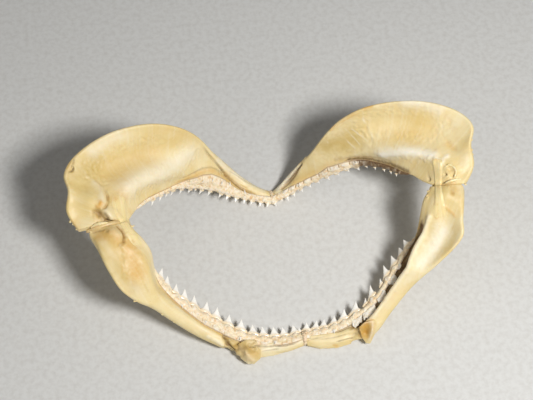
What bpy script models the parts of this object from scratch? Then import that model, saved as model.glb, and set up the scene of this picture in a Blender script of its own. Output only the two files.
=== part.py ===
# Dried, spread jaw of a requiem shark, lying on its front with the inner faces up.
# Four cartilages, four gum bands with their teeth, and the dried ligaments between them.
# Sizes are in millimetres until a mesh is made. X runs across the jaw, Y from the lower
# jaw to the upper, and Z up from the floor.

import math

import bmesh
import bpy
import numpy as np

MM = 0.001
ORIGIN = (-0.4, 1.1, 1.6)      # on the floor under the middle of the jaw, in the ribs' own x, y, z
GAP = 0.35                    # clearance between pieces that touch

RIB_STEPS = 24                 # sections along one cartilage
NEAR_PARTS = (0.0, 0.1, 0.5, 1.0)   # points under the gum, as parts of its width
FAR_STEPS = 5                  # points across one face beyond the gum
BACK_POINTS = 2                # points of the gum on the outer face

# Height of a tooth's cusp, its width at the gum, and how large the teeth are at the midline.
UPPER_TEETH = {"height": 4.6, "width": 5.6, "at_midline": 0.9}
LOWER_TEETH = {"height": 7.6, "width": 7.6, "at_midline": 0.72}
FULL_SIZE_FROM = 45            # how far from the midline the teeth reach their full size
# How far the tips lean to the corner of the mouth as a part of their height, at a distance
# from the midline.
UPPER_LEANS = ((0, 0.42), (100, 0.42))
LOWER_LEFT_LEANS = ((0, 0.08), (100, 0.08))
LOWER_RIGHT_LEANS = ((30, 0.08), (50, 0.45), (70, 0.7))
SMALL_TOOTH = 0.45             # the least teeth, as a part of the others
TOOTH_THICKNESS = 2.2
TOOTH_ROOT = 0.9               # how deep a tooth is set in the gum
TOOTH_SIDES = 4
SHOULDER = (0.3, 0.46)         # how high a tooth's shoulder is and how wide it is there
PAD_FACES = (10, 6)            # round a symphysis pad and from top to bottom

# Each row is one rib of a cartilage: its end at the teeth x, y, z, then its far end x, y, z.
UPPER_LEFT_RIBS = (
    (3.5, 50.8, 4.0, 3.5, 60, 5.5),        # symphysis
    (-12, 54, 7.2, -13.5, 64, 11.5),
    (-29, 57.2, 13.5, -27.5, 73, 22),
    (-44, 61, 20, -37, 79, 42),
    (-59, 61, 27, -49, 83, 66),            # shoulder of the plate
    (-72, 57, 36, -63, 83, 84),
    (-85, 46, 48, -83, 82, 95),
    (-96, 35, 58, -107, 77, 100),          # highest rib
    (-103, 25, 65, -126, 70, 99),
    (-106.5, 19.5, 68.5, -142.5, 58, 97.5),
    (-109, 17.5, 70.5, -149, 47.5, 94.5),  # corner of the mouth
    (-111.5, 16, 72, -147.3, 37, 91),
    (-120, 14, 74, -150, 23, 84.5),
    (-131, 8, 75, -143, 9, 77),            # joint
)
UPPER_RIGHT_RIBS = (
    (3.5, 50.8, 4.0, 3.5, 60, 5.5),
    (18, 54.6, 8.5, 20, 64, 14),
    (31, 58.4, 14, 30, 69, 34),
    (43, 59.8, 20, 37, 69, 50),
    (55, 59, 28, 46, 71, 68),
    (66, 58, 35, 58, 74, 82),
    (77, 54, 42, 75, 75, 93),
    (89, 44, 51, 100, 74, 98),
    (98, 34, 59, 124, 68, 100),
    (105, 28, 65, 143, 58, 98),
    (111, 20, 69, 150.5, 46, 96),
    (116, 15, 72, 147, 34, 91),
    (123, 12, 74, 147, 20, 84),
    (131, 8, 76, 139, 8, 79),
)
LOWER_LEFT_RIBS = (
    (11, -59, 6, 10.5, -70, 4.0),         # symphysis
    (-3, -61, 6.5, -3, -73, 3.7),
    (-15, -60, 7, -15, -73, 3.7),
    (-27, -57, 8, -28, -72, 4.4),
    (-38, -52, 10, -43, -69, 7),           # the bar meets the blade
    (-50, -45, 14, -56, -63, 11),
    (-66, -35.5, 21, -71, -55, 17),
    (-81.5, -26, 32, -85, -47, 27),
    (-90, -18.5, 41, -97, -41, 39),
    (-93, -11, 50, -108, -39, 52),         # widest part of the blade
    (-94, -4, 60, -118, -34, 65),
    (-98, 2, 67, -126, -19, 71),
    (-103, 8, 71, -131, -5, 73),
    (-107, 14, 72, -136, 6, 74),
    (-110, 18, 73, -139, 14, 76),          # joint
)
LOWER_RIGHT_RIBS = (
    (11, -59, 6, 10.5, -70, 4.0),
    (22, -59, 6.5, 20, -73, 3.7),
    (36, -57, 8, 33, -74, 3.7),
    (47, -54, 12, 46, -72, 5.5),
    (58, -49, 15, 61, -72, 13),
    (69, -40.5, 19, 78, -58, 20),
    (80, -29.5, 26, 94, -46, 30),
    (91.5, -19.5, 33, 112, -39, 50),
    (100.5, -10.5, 43.5, 130, -29, 68),
    (105, -3, 57, 133, -16, 73),
    (108, 5, 68, 136, -4, 75),
    (113, 11, 72, 138, 6, 76),
    (116, 17, 73, 139, 14, 78),
)

# How a section's form changes from the symphysis (0) to the joint (1): the distance of the
# thick bar from the teeth, its half thickness, how fast it thins on either side, how far the
# section arches towards the tongue, how hollow its blade is, the blade's half thickness
# and how far the cartilage stands back from the teeth's feet.
UPPER_FORM = (
    (0.00, 3.0, 2.6, 3.0, 4.0, 0.0, 0.0, 1.6, 2.2),
    (0.15, 5.0, 2.4, 4.0, 5.0, 0.5, 0.0, 1.2, 2.2),
    (0.30, 10.0, 2.8, 6.0, 8.0, 1.0, 0.8, 1.1, 2.2),
    (0.45, 15.0, 3.4, 7.0, 10.0, 1.5, 1.5, 1.1, 2.2),
    (0.60, 18.0, 4.2, 9.0, 11.0, 2.5, 3.0, 1.2, 2.0),
    (0.80, 18.0, 4.2, 10.0, 13.0, 2.5, 1.3, 1.4, 0.0),
    (1.00, 6.0, 3.4, 6.0, 8.0, 0.0, 0.0, 1.8, 0.0),
)
LOWER_LEFT_FORM = (
    (0.00, 7.0, 3.8, 3.2, 4.0, 0.5, 0.0, 2.0, 2.2),
    (0.22, 8.5, 4.0, 3.4, 4.0, 0.5, 0.0, 1.8, 2.2),
    (0.42, 14.0, 4.2, 5.0, 8.0, 1.5, 0.0, 2.0, 2.2),
    (0.60, 15.0, 4.6, 6.5, 10.0, 2.0, 0.5, 1.6, 2.0),
    (0.80, 13.0, 4.0, 8.0, 12.0, 2.0, 1.5, 1.5, 0.0),
    (1.00, 14.0, 4.2, 9.0, 9.0, 0.5, 0.0, 2.6, 0.0),
)
LOWER_RIGHT_FORM = (
    (0.00, 7.0, 3.8, 3.2, 4.0, 0.5, 0.0, 2.0, 2.2),
    (0.20, 8.5, 4.0, 3.4, 4.0, 0.5, 0.0, 1.8, 2.2),
    (0.35, 15.0, 4.6, 3.6, 6.0, 3.5, 0.0, 2.0, 2.2),
    (0.55, 15.5, 4.8, 3.8, 8.0, 6.0, 0.5, 1.6, 2.2),
    (0.72, 12.5, 4.4, 4.6, 11.0, 5.0, 2.0, 1.5, 1.5),
    (0.85, 10.0, 4.0, 8.0, 12.0, 2.0, 1.5, 1.8, 0.0),
    (1.00, 12.0, 4.2, 9.0, 9.0, 0.5, 0.0, 2.6, 0.0),
)
# How wide each gum is at a place along its cartilage.
UPPER_LEFT_GUM = (
    (0.0, 3.0), (0.09, 3.4), (0.14, 5.0), (0.20, 9.5), (0.27, 13.0), (0.32, 12.5), (0.38, 9.0), (0.43, 4.2),
    (0.48, 2.5),
)
UPPER_RIGHT_GUM = (
    (0.0, 3.0), (0.09, 4.2), (0.16, 5.2), (0.24, 7.2), (0.30, 11.0), (0.36, 10.0), (0.44, 6.0), (0.53, 3.2),
    (0.62, 2.5),
)
LOWER_LEFT_GUM = ((0.0, 5.2), (0.12, 5.4), (0.24, 7.5), (0.40, 8.5), (0.52, 6.0), (0.60, 4.0), (0.80, 4.0))
LOWER_RIGHT_GUM = ((0.0, 5.2), (0.15, 5.4), (0.25, 6.5), (0.35, 6.2), (0.45, 4.6), (0.55, 3.6), (0.72, 3.0))

# The front rod of each upper cartilage, behind the plate: x, y, z and its radius.
UPPER_LEFT_ROD = (
    (4.5, 57, 4.1, 3.7),
    (0.0, 58.4, 5.4, 3.9),
    (-8, 61.4, 8, 4.0),
    (-17, 67.3, 12.5, 3.7),
    (-26, 74, 20, 3.2),
    (-34, 78, 33, 2.3),
    (-41, 80, 47, 1.4),
)
UPPER_RIGHT_ROD = (
    (2.5, 57, 4.1, 3.7),
    (6.5, 58.4, 4.4, 3.7),
    (13, 62, 7.5, 3.6),
    (20, 66.5, 13, 3.4),
    (27, 69, 24, 2.6),
    (33, 69.5, 38, 1.6),
)

# The neck between the blade and the knob of each lower cartilage.
LEFT_NECK = (
    (-44, -66, 9, 3.0),
    (-38, -69, 9.5, 4.4),
    (-33, -71.5, 10.5, 4.2),
    (-31, -72.5, 11, 2.0),
)
RIGHT_NECK = (
    (68, -62, 17, 4.0),
    (62, -66, 14.5, 5.0),
    (58, -69, 13, 4.4),
    (56, -71, 12, 2.0),
)
# The corners of each lower cartilage's knob and of the front bar beside it.
LEFT_LUMPS = (
    ((-39.5, -66, 15), (-33, -64.5, 18), (-25.5, -65.5, 17), (-24, -68, 14), (-32, -71, 17), (-38, -70, 13),
     (-33, -67, 7)),
    ((-39, -69, 13), (-33, -69.5, 18.5), (-26, -70, 17), (-22.5, -72.5, 12.5), (-23.5, -77.5, 8),
     (-29, -80.5, 6.5), (-33.5, -80, 7), (-38.5, -75.5, 9), (-34, -76, 15.5), (-27, -76, 14), (-36, -69, 4),
     (-26, -70, 4)),
    ((-29, -67.5, 10.2), (-16, -67.3, 9.9), (-2, -66.9, 9.3), (8.5, -65.2, 9.3), (-28, -73, 9.5),
     (-15, -72, 8.2), (0, -70, 7.6), (9, -68.2, 7.4), (-27, -75.5, 4.2), (-14, -74.6, 3.0), (1, -72.4, 3.0),
     (8.5, -70, 3.6), (-25, -68, 3), (8.5, -64, 3)),
)
RIGHT_LUMPS = (
    ((50.5, -67, 19), (54.5, -65.5, 22.5), (62, -64.5, 23), (66, -67.5, 18), (60, -71.5, 19.5),
     (52, -72.5, 12.5), (55, -76.5, 8.5), (58, -77.5, 8.5), (66, -62, 15), (56, -65, 8), (64, -67, 8)),
    ((13, -65, 9.6), (25, -66.3, 9.8), (40, -65.8, 10.2), (47.2, -65.4, 10.8), (13, -68.6, 8.6),
     (24, -71.4, 7.8), (36, -72.4, 8.4), (47.4, -69.8, 8.6), (13.5, -71, 3.4), (22, -74.2, 2.8),
     (34, -75.2, 2.8), (44.6, -73.6, 3.6), (13.5, -64, 3), (46, -66, 3)),
)

# Swellings of the inner face at the joints: x, y, z, radius and height.
UPPER_LEFT_SWELLS = ((-133, 31, 82, 9, 4.5), (-119, 19, 78, 6, 3.0))
UPPER_RIGHT_SWELLS = ((138, 26, 87, 12, 0.8), (129, 16, 82, 6, 2.5))
LOWER_LEFT_SWELLS = ((-122, 3, 77, 10, 4.5),)
LOWER_RIGHT_SWELLS = ((127, 2, 77, 10, 4.0),)

# The line where the upper and lower cartilages meet, from the mouth's corner outwards.
JOINT_LEFT = ((-107, 16.5, 71), (-138, 10.5, 76))
JOINT_RIGHT = ((115, 14, 72), (136, 10, 77))
# The ligaments over the joints: the jaw, the rib and the strap's two sides on it.
STRAP_LIFT = 0.7
STRAP_THICKNESS = 1.2
STRAP_POINTS = 4
LIGAMENT_LEFT = (
    ("upper", 16, 8, 19),
    ("upper", 17, 6, 18),
    ("upper", 18, 4, 15),
    ("upper", 19, 3, 11),
    ("lower", 22, 4, 12),
    ("lower", 21, 3, 13),
    ("lower", 20, 4, 12),
)
LIGAMENT_RIGHT = (
    ("upper", 18, 12, 22),
    ("upper", 19, 8, 18),
    ("upper", 20, 5, 14),
    ("lower", 22, 3, 12),
    ("lower", 21, 4, 15),
    ("lower", 20, 6, 19),
    ("lower", 19, 9, 20),
)

JOINT_RISE = (0.0, 0.9, 0.45)  # from the lower cartilage to the upper, across that line
JOINT_TOOL = (95, 30, 70)      # cutter along the line, away from its face and through the jaw
JOINT_MARGIN = 30              # how far that cutter starts before the line
MIDLINE = {"upper": 3.5, "lower": 11.0}    # x of the two symphyses, which dried askew
SYMPHYSIS = 2.0                # between the two sides there
MIDLINE_TOOL = (60, 300, 120)  # cutter that keeps them apart
FLOOR_TOOL = (400, 300, 30)    # cutter that makes the flats the jaw rests on
PADS = {                       # what fills it: centre and half sizes
    "upper": ((3.5, 57.2, 5.8), (0.65, 4.6, 3.9)),
    "lower": ((11.0, -65, 5.8), (0.65, 6.0, 3.9)),
}

PALE_CARTILAGE = (0.80, 0.68, 0.42)
DRIED_GUM = (0.82, 0.68, 0.52)
DRIED_LIGAMENT = (0.72, 0.50, 0.22)


def rows_along(rows, count, width=3):
    """Values read evenly along a smooth curve through the rows."""
    points = np.array(rows, dtype=float)
    steps = np.linalg.norm(np.diff(points[:, :width], axis=0), axis=1)
    knots = np.concatenate(([0.0], np.cumsum(steps)))
    slopes = np.zeros_like(points)
    slopes[1:-1] = (points[2:] - points[:-2]) / (knots[2:] - knots[:-2])[:, None]
    slopes[0] = (points[1] - points[0]) / (knots[1] - knots[0])
    slopes[-1] = (points[-1] - points[-2]) / (knots[-1] - knots[-2])
    found = []
    for place in np.linspace(0.0, knots[-1], count):
        row = min(int(np.searchsorted(knots, place, side="right")) - 1, len(points) - 2)
        span = knots[row + 1] - knots[row]
        t = (place - knots[row]) / span
        start = (2 * t ** 3 - 3 * t ** 2 + 1) * points[row]
        start_slope = (t ** 3 - 2 * t ** 2 + t) * span * slopes[row]
        end = (3 * t ** 2 - 2 * t ** 3) * points[row + 1]
        end_slope = (t ** 3 - t ** 2) * span * slopes[row + 1]
        found.append(start + start_slope + end + end_slope)
    return np.array(found)


def form_at(form, place):
    """The section's form values at a place between 0 and 1."""
    table = np.array(form)
    return [float(np.interp(place, table[:, 0], column)) for column in table[:, 1:].T]


def unit(vector):
    return np.array(vector, dtype=float) / max(np.linalg.norm(vector), 1e-9)


def rib_frames(bone):
    """Each rib's end at the teeth, its length, its three directions and its form."""
    spread = rows_along(bone["ribs"], RIB_STEPS, width=6)
    near, far = spread[:, :3], spread[:, 3:6]
    along = np.gradient(0.5 * (near + far), axis=0)
    frames = []
    for index in range(RIB_STEPS):
        place = index / (RIB_STEPS - 1)
        form = form_at(bone["form"], place)
        stand_back = form.pop()
        form += form_at(bone["gum_widths"], place)
        across = unit(far[index] - near[index])
        face = unit(np.cross(along[index], across))
        if face @ np.array(bone["tongue"]) < 0:
            face = -face
        length = float(np.linalg.norm(far[index] - near[index])) - stand_back
        start = near[index] + across * stand_back
        frames.append((start, length, unit(along[index]), across, face, form))
    return frames


def profile(length, form, distance):
    """Middle and half thickness of a section at a distance from the teeth."""
    ridge, bar, near_width, far_width, arch, hollow, blade, gum = form
    ridge = min(ridge, 0.6 * length)
    width = near_width if distance < ridge else far_width
    bulge = math.exp(-((distance - ridge) / width) ** 2)
    half = blade + (bar - blade) * bulge
    middle = arch * bulge
    if distance > ridge:
        beyond = (distance - ridge) / max(length - ridge, 1.0)
        middle -= hollow * math.sin(math.pi * min(beyond, 1.0)) ** 2
    radius = min(half, 0.45 * length)        # both edges are rounded
    edge = max(min(distance, length - distance), 0.0)
    if edge < radius:
        half *= math.sqrt(1.0 - (1.0 - edge / radius) ** 2)
    return middle, half


def inner_point(bone, frame, distance, lift=0.0):
    """A point on a cartilage's inner face, or a little above it, with the swellings at its joint."""
    near, length, along, across, face, form = frame
    middle, half = profile(length, form, distance)
    point = near + across * distance + face * (middle + half)
    for x, y, z, radius, height in bone["swells"]:
        away = np.linalg.norm(point - (x, y, z)) / radius
        lift += height * math.exp(-away ** 2)
    return point + face * lift


def section(length, form):
    """One face of a section as (distance, middle, half thickness), from teeth to far edge."""
    gum = min(form[-1], 0.8 * length)
    places = [part * gum for part in NEAR_PARTS]
    for step in range(1, FAR_STEPS + 1):
        places.append(gum + (length - gum) * math.sin(0.5 * math.pi * step / FAR_STEPS))
    outline = []
    for distance in places:
        middle, half = profile(length, form, distance)
        outline.append((distance, middle, half))
    return outline


def place_of(point):
    """A point in millimetres to the world, with the origin under the middle of the jaw."""
    return [(value - middle) * MM for value, middle in zip(point, ORIGIN)]


def paint(name, colour, roughness):
    material = bpy.data.materials.new(name)
    material.use_nodes = True
    shader = material.node_tree.nodes["Principled BSDF"]
    shader.inputs["Base Color"].default_value = (*colour, 1.0)
    shader.inputs["Roughness"].default_value = roughness
    shader.inputs["Metallic"].default_value = 0.0
    return material


def make_object(name, shape, material):
    mesh = bpy.data.meshes.new(name)
    shape.to_mesh(mesh)
    shape.free()
    mesh.shade_smooth()
    mesh.set_sharp_from_angle(angle=math.radians(50))
    mesh.materials.append(material)
    piece = bpy.data.objects.new(name, mesh)
    bpy.context.scene.collection.objects.link(piece)
    return piece


def make_tool(name, shape):
    """A shape that cuts or joins another and isn't a part of the jaw itself."""
    tool = make_object(name, shape, bpy.data.materials["tool"])
    tool.hide_render = True
    tool.display_type = "WIRE"
    return tool


def combine(piece, tool, operation):
    boolean = piece.modifiers.new(tool.name, "BOOLEAN")
    boolean.operation = operation
    boolean.object = tool
    boolean.solver = "EXACT"


def face_out(shape):
    shape.normal_update()
    bmesh.ops.recalc_face_normals(shape, faces=shape.faces)
    return shape


def close_end(shape, ring):
    """Faces over a flat end ring, from one of its two halves to the other."""
    for index in range(len(ring) // 2):
        corners = []
        for corner in (ring[index], ring[index + 1], ring[-index - 1], ring[-index]):
            if corner not in corners:
                corners.append(corner)
        shape.faces.new(corners[:3])
        if len(corners) == 4:
            shape.faces.new((corners[0], corners[2], corners[3]))


def skin_rings(rings, shape=None):
    """A closed body through rings of points, added to a shape."""
    shape = shape or bmesh.new()
    count = len(rings[0])
    rows = [[shape.verts.new(place_of(point)) for point in ring] for ring in rings]
    for ring, following in zip(rows, rows[1:]):
        for index in range(count):
            beside = (index + 1) % count
            shape.faces.new((ring[index], ring[beside], following[beside]))
            shape.faces.new((ring[index], following[beside], following[index]))
    close_end(shape, rows[0])
    close_end(shape, rows[-1])
    return face_out(shape)


def cartilage(bone):
    """One jaw cartilage as a body through the sections of its ribs."""
    rings = []
    for frame in bone["frames"]:
        near, length, along, across, face, form = frame
        outline = section(length, form)
        inner = [inner_point(bone, frame, d) for d, m, h in outline]
        outer = [near + across * d + face * (m - h) for d, m, h in outline]
        rings.append(inner + outer[-2:0:-1])
    return skin_rings(rings)


def rod(path, count, sides, thicker=0.0):
    """A round rod through a path of x, y, z and radius."""
    centres = rows_along(path, count)
    centres[:, 3] += thicker
    along = np.gradient(centres[:, :3], axis=0)
    rings = []
    for centre, direction in zip(centres, along):
        side = unit(np.cross(direction, (0.0, 0.0, 1.0)))
        up = np.cross(side, unit(direction))
        turns = [2 * math.pi * step / sides for step in range(sides)]
        rings.append([
            centre[:3] + centre[3] * (side * math.cos(turn) + up * math.sin(turn)) for turn in turns
        ])
    return skin_rings(rings)


def lump(corners, thicker=0.0):
    """A faceted body that stretches over a few corners."""
    shape = bmesh.new()
    for corner in corners:
        for side in ((-1, -1, -1), (-1, -1, 1), (-1, 1, -1), (-1, 1, 1),
                     (1, -1, -1), (1, -1, 1), (1, 1, -1), (1, 1, 1)) if thicker else ((0, 0, 0),):
            shape.verts.new(place_of(np.array(corner) + thicker * np.array(side)))
    bmesh.ops.convex_hull(shape, input=shape.verts[:])
    loose = [vertex for vertex in shape.verts if not vertex.link_faces]
    bmesh.ops.delete(shape, geom=loose, context="VERTS")
    bmesh.ops.triangulate(shape, faces=shape.faces)
    return face_out(shape)


def ellipsoid(centre, radii, segments, rows):
    """A rounded lump."""
    shape = bmesh.new()
    bmesh.ops.create_uvsphere(shape, u_segments=segments, v_segments=rows, radius=1.0)
    for vertex in shape.verts:
        vertex.co = place_of([centre[axis] + vertex.co[axis] * radii[axis] for axis in range(3)])
    bmesh.ops.triangulate(shape, faces=shape.faces)
    return shape


def block(corner, edges):
    """A box from one corner along three edges."""
    shape = bmesh.new()
    corner, edges = np.array(corner, dtype=float), np.array(edges, dtype=float)
    bmesh.ops.create_cube(shape, size=1.0)
    for vertex in shape.verts:
        parts = [vertex.co[axis] + 0.5 for axis in range(3)]
        vertex.co = place_of(corner + sum(part * edge for part, edge in zip(parts, edges)))
    return face_out(shape)


def joint_tool(name, line, side):
    """A block on one side of the joint's face: 1 above it, -1 below it."""
    start, end = np.array(line[0], dtype=float), np.array(line[1], dtype=float)
    out = unit(end - start)
    rise = unit(np.array(JOINT_RISE) - out * (out @ np.array(JOINT_RISE)))
    depth = np.cross(out, rise)
    reach, height, through = JOINT_TOOL
    corner = start - out * JOINT_MARGIN - depth * through / 2 - rise * side * GAP / 2
    return make_tool(name, block(corner, (out * reach, rise * side * height, depth * through)))


def midline_tool(name, bone):
    """A block beyond the middle of the jaw, which keeps a side clear of the other one."""
    turn = -1 if bone["side"] == "left" else 1
    start = MIDLINE[bone["jaw"]] + turn * SYMPHYSIS / 2
    across, depth, height = MIDLINE_TOOL
    edges = ((-turn * across, 0, 0), (0, depth, 0), (0, 0, height))
    return make_tool(name, block((start, -depth / 2, -height / 2), edges))


def gum_rings(bone, first, last, heel):
    """Rings of the dried gum round the teeth's edge, and the line its teeth stand on."""
    rings = []
    edge_line = []
    for index in range(first, last + 1):
        near, length, along, across, face, form = bone["frames"][index]
        outline = section(length, form)
        inner = [(d, m + h) for d, m, h in outline[:len(NEAR_PARTS)]]
        outer = [(d, m - h) for d, m, h in outline[1:BACK_POINTS + 1]]
        line = np.array(outer[::-1] + inner)
        slope = np.gradient(line, axis=0)
        away = np.array([unit((-rise, run)) for run, rise in slope])
        ends = min(1.0, 0.5 + 0.4 * (last - index))     # thins out over its last two ribs
        lifts = GAP + ends * np.array(heel)
        under = line + away * GAP
        over = line + away * lifts[:, None]
        ring = [near + across * d + face * n for d, n in under]
        ring += [near + across * d + face * n for d, n in over[::-1]]
        rings.append(ring)
        edge_line.append(np.array([near - across * lifts[BACK_POINTS], along, across, face]))
    return rings, edge_line


def along_edge(edge_line, distance):
    """Place and directions at a distance along the gum's edge."""
    places = np.array([spot[0] for spot in edge_line])
    lengths = np.concatenate(([0.0], np.cumsum(np.linalg.norm(np.diff(places, axis=0), axis=1))))
    index = int(np.clip(np.searchsorted(lengths, distance) - 1, 0, len(places) - 2))
    part = (distance - lengths[index]) / (lengths[index + 1] - lengths[index])
    return edge_line[index] * (1 - part) + edge_line[index + 1] * part


def tooth(shape, spot, sizes, lean, scale):
    """One tooth: a wide root in the gum, a low shoulder and a narrow cusp."""
    foot, along, across, face = spot
    along, across, face = unit(along), unit(across), unit(face)
    height, width = sizes["height"] * scale, sizes["width"] * scale
    thick = TOOTH_THICKNESS * scale
    levels = ((-TOOTH_ROOT, 1.0), (SHOULDER[0] * height, SHOULDER[1]))
    rows = []
    for level, breadth in levels:
        centre = foot - across * level + along * lean * max(level, 0.0)
        row = []
        for step in range(TOOTH_SIDES):
            turn = 2 * math.pi * step / TOOTH_SIDES
            offset = along * math.cos(turn) * width * breadth / 2
            offset = offset + face * math.sin(turn) * thick * (0.4 + 0.6 * breadth) / 2
            row.append(shape.verts.new(place_of(centre + offset)))
        rows.append(row)
    tip = shape.verts.new(place_of(foot - across * height + along * lean * height))
    for row, following in zip(rows, rows[1:]):
        for index in range(TOOTH_SIDES):
            beside = (index + 1) % TOOTH_SIDES
            shape.faces.new((row[index], row[beside], following[beside]))
            shape.faces.new((row[index], following[beside], following[index]))
    for index in range(TOOTH_SIDES):
        shape.faces.new((rows[-1][index], rows[-1][(index + 1) % TOOTH_SIDES], tip))
    close_end(shape, rows[0])


def teeth(bone, edge_line, sizes):
    """All the teeth of one side, as bodies that the gum is joined to."""
    shape = bmesh.new()
    for place in bone["teeth"] + bone["small_teeth"]:
        scale = float(np.interp(place, (0, FULL_SIZE_FROM), (sizes["at_midline"], 1.0)))
        scale *= SMALL_TOOTH if place in bone["small_teeth"] else 1.0
        lean = form_at(bone["leans"], place)[0]
        tooth(shape, along_edge(edge_line, place), sizes, lean, scale)
    return face_out(shape)


def strap(bones, rows):
    """A dried ligament laid over two bones. Each row is the jaw, the rib and its two sides."""
    rings = []
    for jaw, rib, near_side, far_side in rows:
        frame = bones[jaw]["frames"][rib]
        sides = np.linspace(near_side, far_side, STRAP_POINTS)
        under = [inner_point(bones[jaw], frame, side, STRAP_LIFT) for side in sides]
        over = [inner_point(bones[jaw], frame, side, STRAP_LIFT + STRAP_THICKNESS) for side in sides]
        rings.append(under + over[::-1])
    return skin_rings(rings)


# What each cartilage is made from. Lumps are joined to it; the gum runs from one section to
# another, with the height of its face at six points; teeth stand at distances along it.
GUM_UPPER = (0.4, 1.2, 2.0, 2.0, 1.8, 0.5)
GUM_LOWER = (0.4, 1.2, 1.9, 1.9, 1.6, 0.4)
BONES = (
    {
        "name": "palatoquadrate_left", "jaw": "upper", "side": "left",
        "ribs": UPPER_LEFT_RIBS, "form": UPPER_FORM, "tongue": (0.3, -1, 0.5),
        "gum_widths": UPPER_LEFT_GUM, "leans": UPPER_LEANS, "lumps": (),
        "rod": (UPPER_LEFT_ROD, 10, 8), "swells": UPPER_LEFT_SWELLS, "joint": JOINT_LEFT,
        "gum": (0, 16, GUM_UPPER),
        "teeth": (4, 10, 17, 23, 30, 37, 43, 52, 59, 69, 77, 86, 93, 101, 111), "small_teeth": (64,),
    },
    {
        "name": "palatoquadrate_right", "jaw": "upper", "side": "right",
        "ribs": UPPER_RIGHT_RIBS, "form": UPPER_FORM, "tongue": (-0.3, -1, 0.5),
        "gum_widths": UPPER_RIGHT_GUM, "leans": UPPER_LEANS, "lumps": (),
        "rod": (UPPER_RIGHT_ROD, 9, 8), "swells": UPPER_RIGHT_SWELLS, "joint": JOINT_RIGHT,
        "gum": (0, 17, GUM_UPPER),
        "teeth": (2, 13, 19, 26, 33, 40, 49, 58, 67, 76), "small_teeth": (8, 84, 92, 101, 108, 114),
    },
    {
        "name": "meckel_left", "jaw": "lower", "side": "left",
        "ribs": LOWER_LEFT_RIBS, "form": LOWER_LEFT_FORM, "tongue": (0.3, 0.3, 1),
        "gum_widths": LOWER_LEFT_GUM, "leans": LOWER_LEFT_LEANS, "lumps": LEFT_LUMPS,
        "rod": (LEFT_NECK, 6, 8), "swells": LOWER_LEFT_SWELLS, "joint": JOINT_LEFT,
        "gum": (0, 16, GUM_LOWER),
        "teeth": (7, 15, 22, 30, 38, 48, 58, 68, 77, 87, 96, 104, 113, 121.5), "small_teeth": (3,),
    },
    {
        "name": "meckel_right", "jaw": "lower", "side": "right",
        "ribs": LOWER_RIGHT_RIBS, "form": LOWER_RIGHT_FORM, "tongue": (-0.3, 0.3, 1),
        "gum_widths": LOWER_RIGHT_GUM, "leans": LOWER_RIGHT_LEANS, "lumps": RIGHT_LUMPS,
        "rod": (RIGHT_NECK, 6, 8), "swells": LOWER_RIGHT_SWELLS, "joint": JOINT_RIGHT,
        "gum": (0, 17, GUM_LOWER),
        "teeth": (2.5, 9, 15, 23, 31, 41, 58, 78, 88, 97, 105), "small_teeth": (51, 70),
    },
)


def main():
    for old in list(bpy.data.objects):
        bpy.data.objects.remove(old, do_unlink=True)
    pale = paint("pale_cartilage", PALE_CARTILAGE, 0.42)
    gum = paint("dried_gum", DRIED_GUM, 0.55)
    tissue = paint("dried_ligament", DRIED_LIGAMENT, 0.4)
    paint("tool", PALE_CARTILAGE, 0.5)

    width, depth, height = FLOOR_TOOL
    under = (-width / 2, -depth / 2, ORIGIN[2] - height)
    floor = make_tool("floor_level", block(under, np.diag(FLOOR_TOOL)))
    sides = {"left": {}, "right": {}}
    for bone in BONES:
        bone["frames"] = rib_frames(bone)
        sides[bone["side"]][bone["jaw"]] = bone
        upper = bone["jaw"] == "upper"
        name = bone["jaw"] + "_" + bone["side"]
        middle = midline_tool(name + "_midline", bone)
        piece = make_object(bone["name"], cartilage(bone), pale)
        combine(piece, make_tool(name + "_rod", rod(*bone["rod"])), "UNION")
        for index, corners in enumerate(bone["lumps"]):
            combine(piece, make_tool(f"{name}_lump_{index}", lump(corners)), "UNION")
        combine(piece, joint_tool(name + "_joint", bone["joint"], -1 if upper else 1), "DIFFERENCE")
        combine(piece, middle, "DIFFERENCE")
        combine(piece, floor, "DIFFERENCE")

        rings, edge_line = gum_rings(bone, *bone["gum"])
        sizes = UPPER_TEETH if upper else LOWER_TEETH
        band = make_object("gum_" + name, skin_rings(rings), gum)
        combine(band, make_tool(name + "_teeth", teeth(bone, edge_line, sizes)), "UNION")
        grown = make_tool(name + "_rod_room", rod(*bone["rod"], thicker=GAP))
        combine(band, grown, "DIFFERENCE")
        for index, corners in enumerate(bone["lumps"]):
            grown = make_tool(f"{name}_lump_room_{index}", lump(corners, thicker=GAP))
            combine(band, grown, "DIFFERENCE")
        combine(band, middle, "DIFFERENCE")

    make_object("ligament_left", strap(sides["left"], LIGAMENT_LEFT), tissue)
    make_object("ligament_right", strap(sides["right"], LIGAMENT_RIGHT), tissue)
    for jaw, sizes in PADS.items():
        make_object("symphysis_" + jaw, ellipsoid(*sizes, *PAD_FACES), tissue)


main()
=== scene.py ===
import math

import bmesh
import bpy
import numpy as np
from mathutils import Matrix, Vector, kdtree, noise


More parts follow.
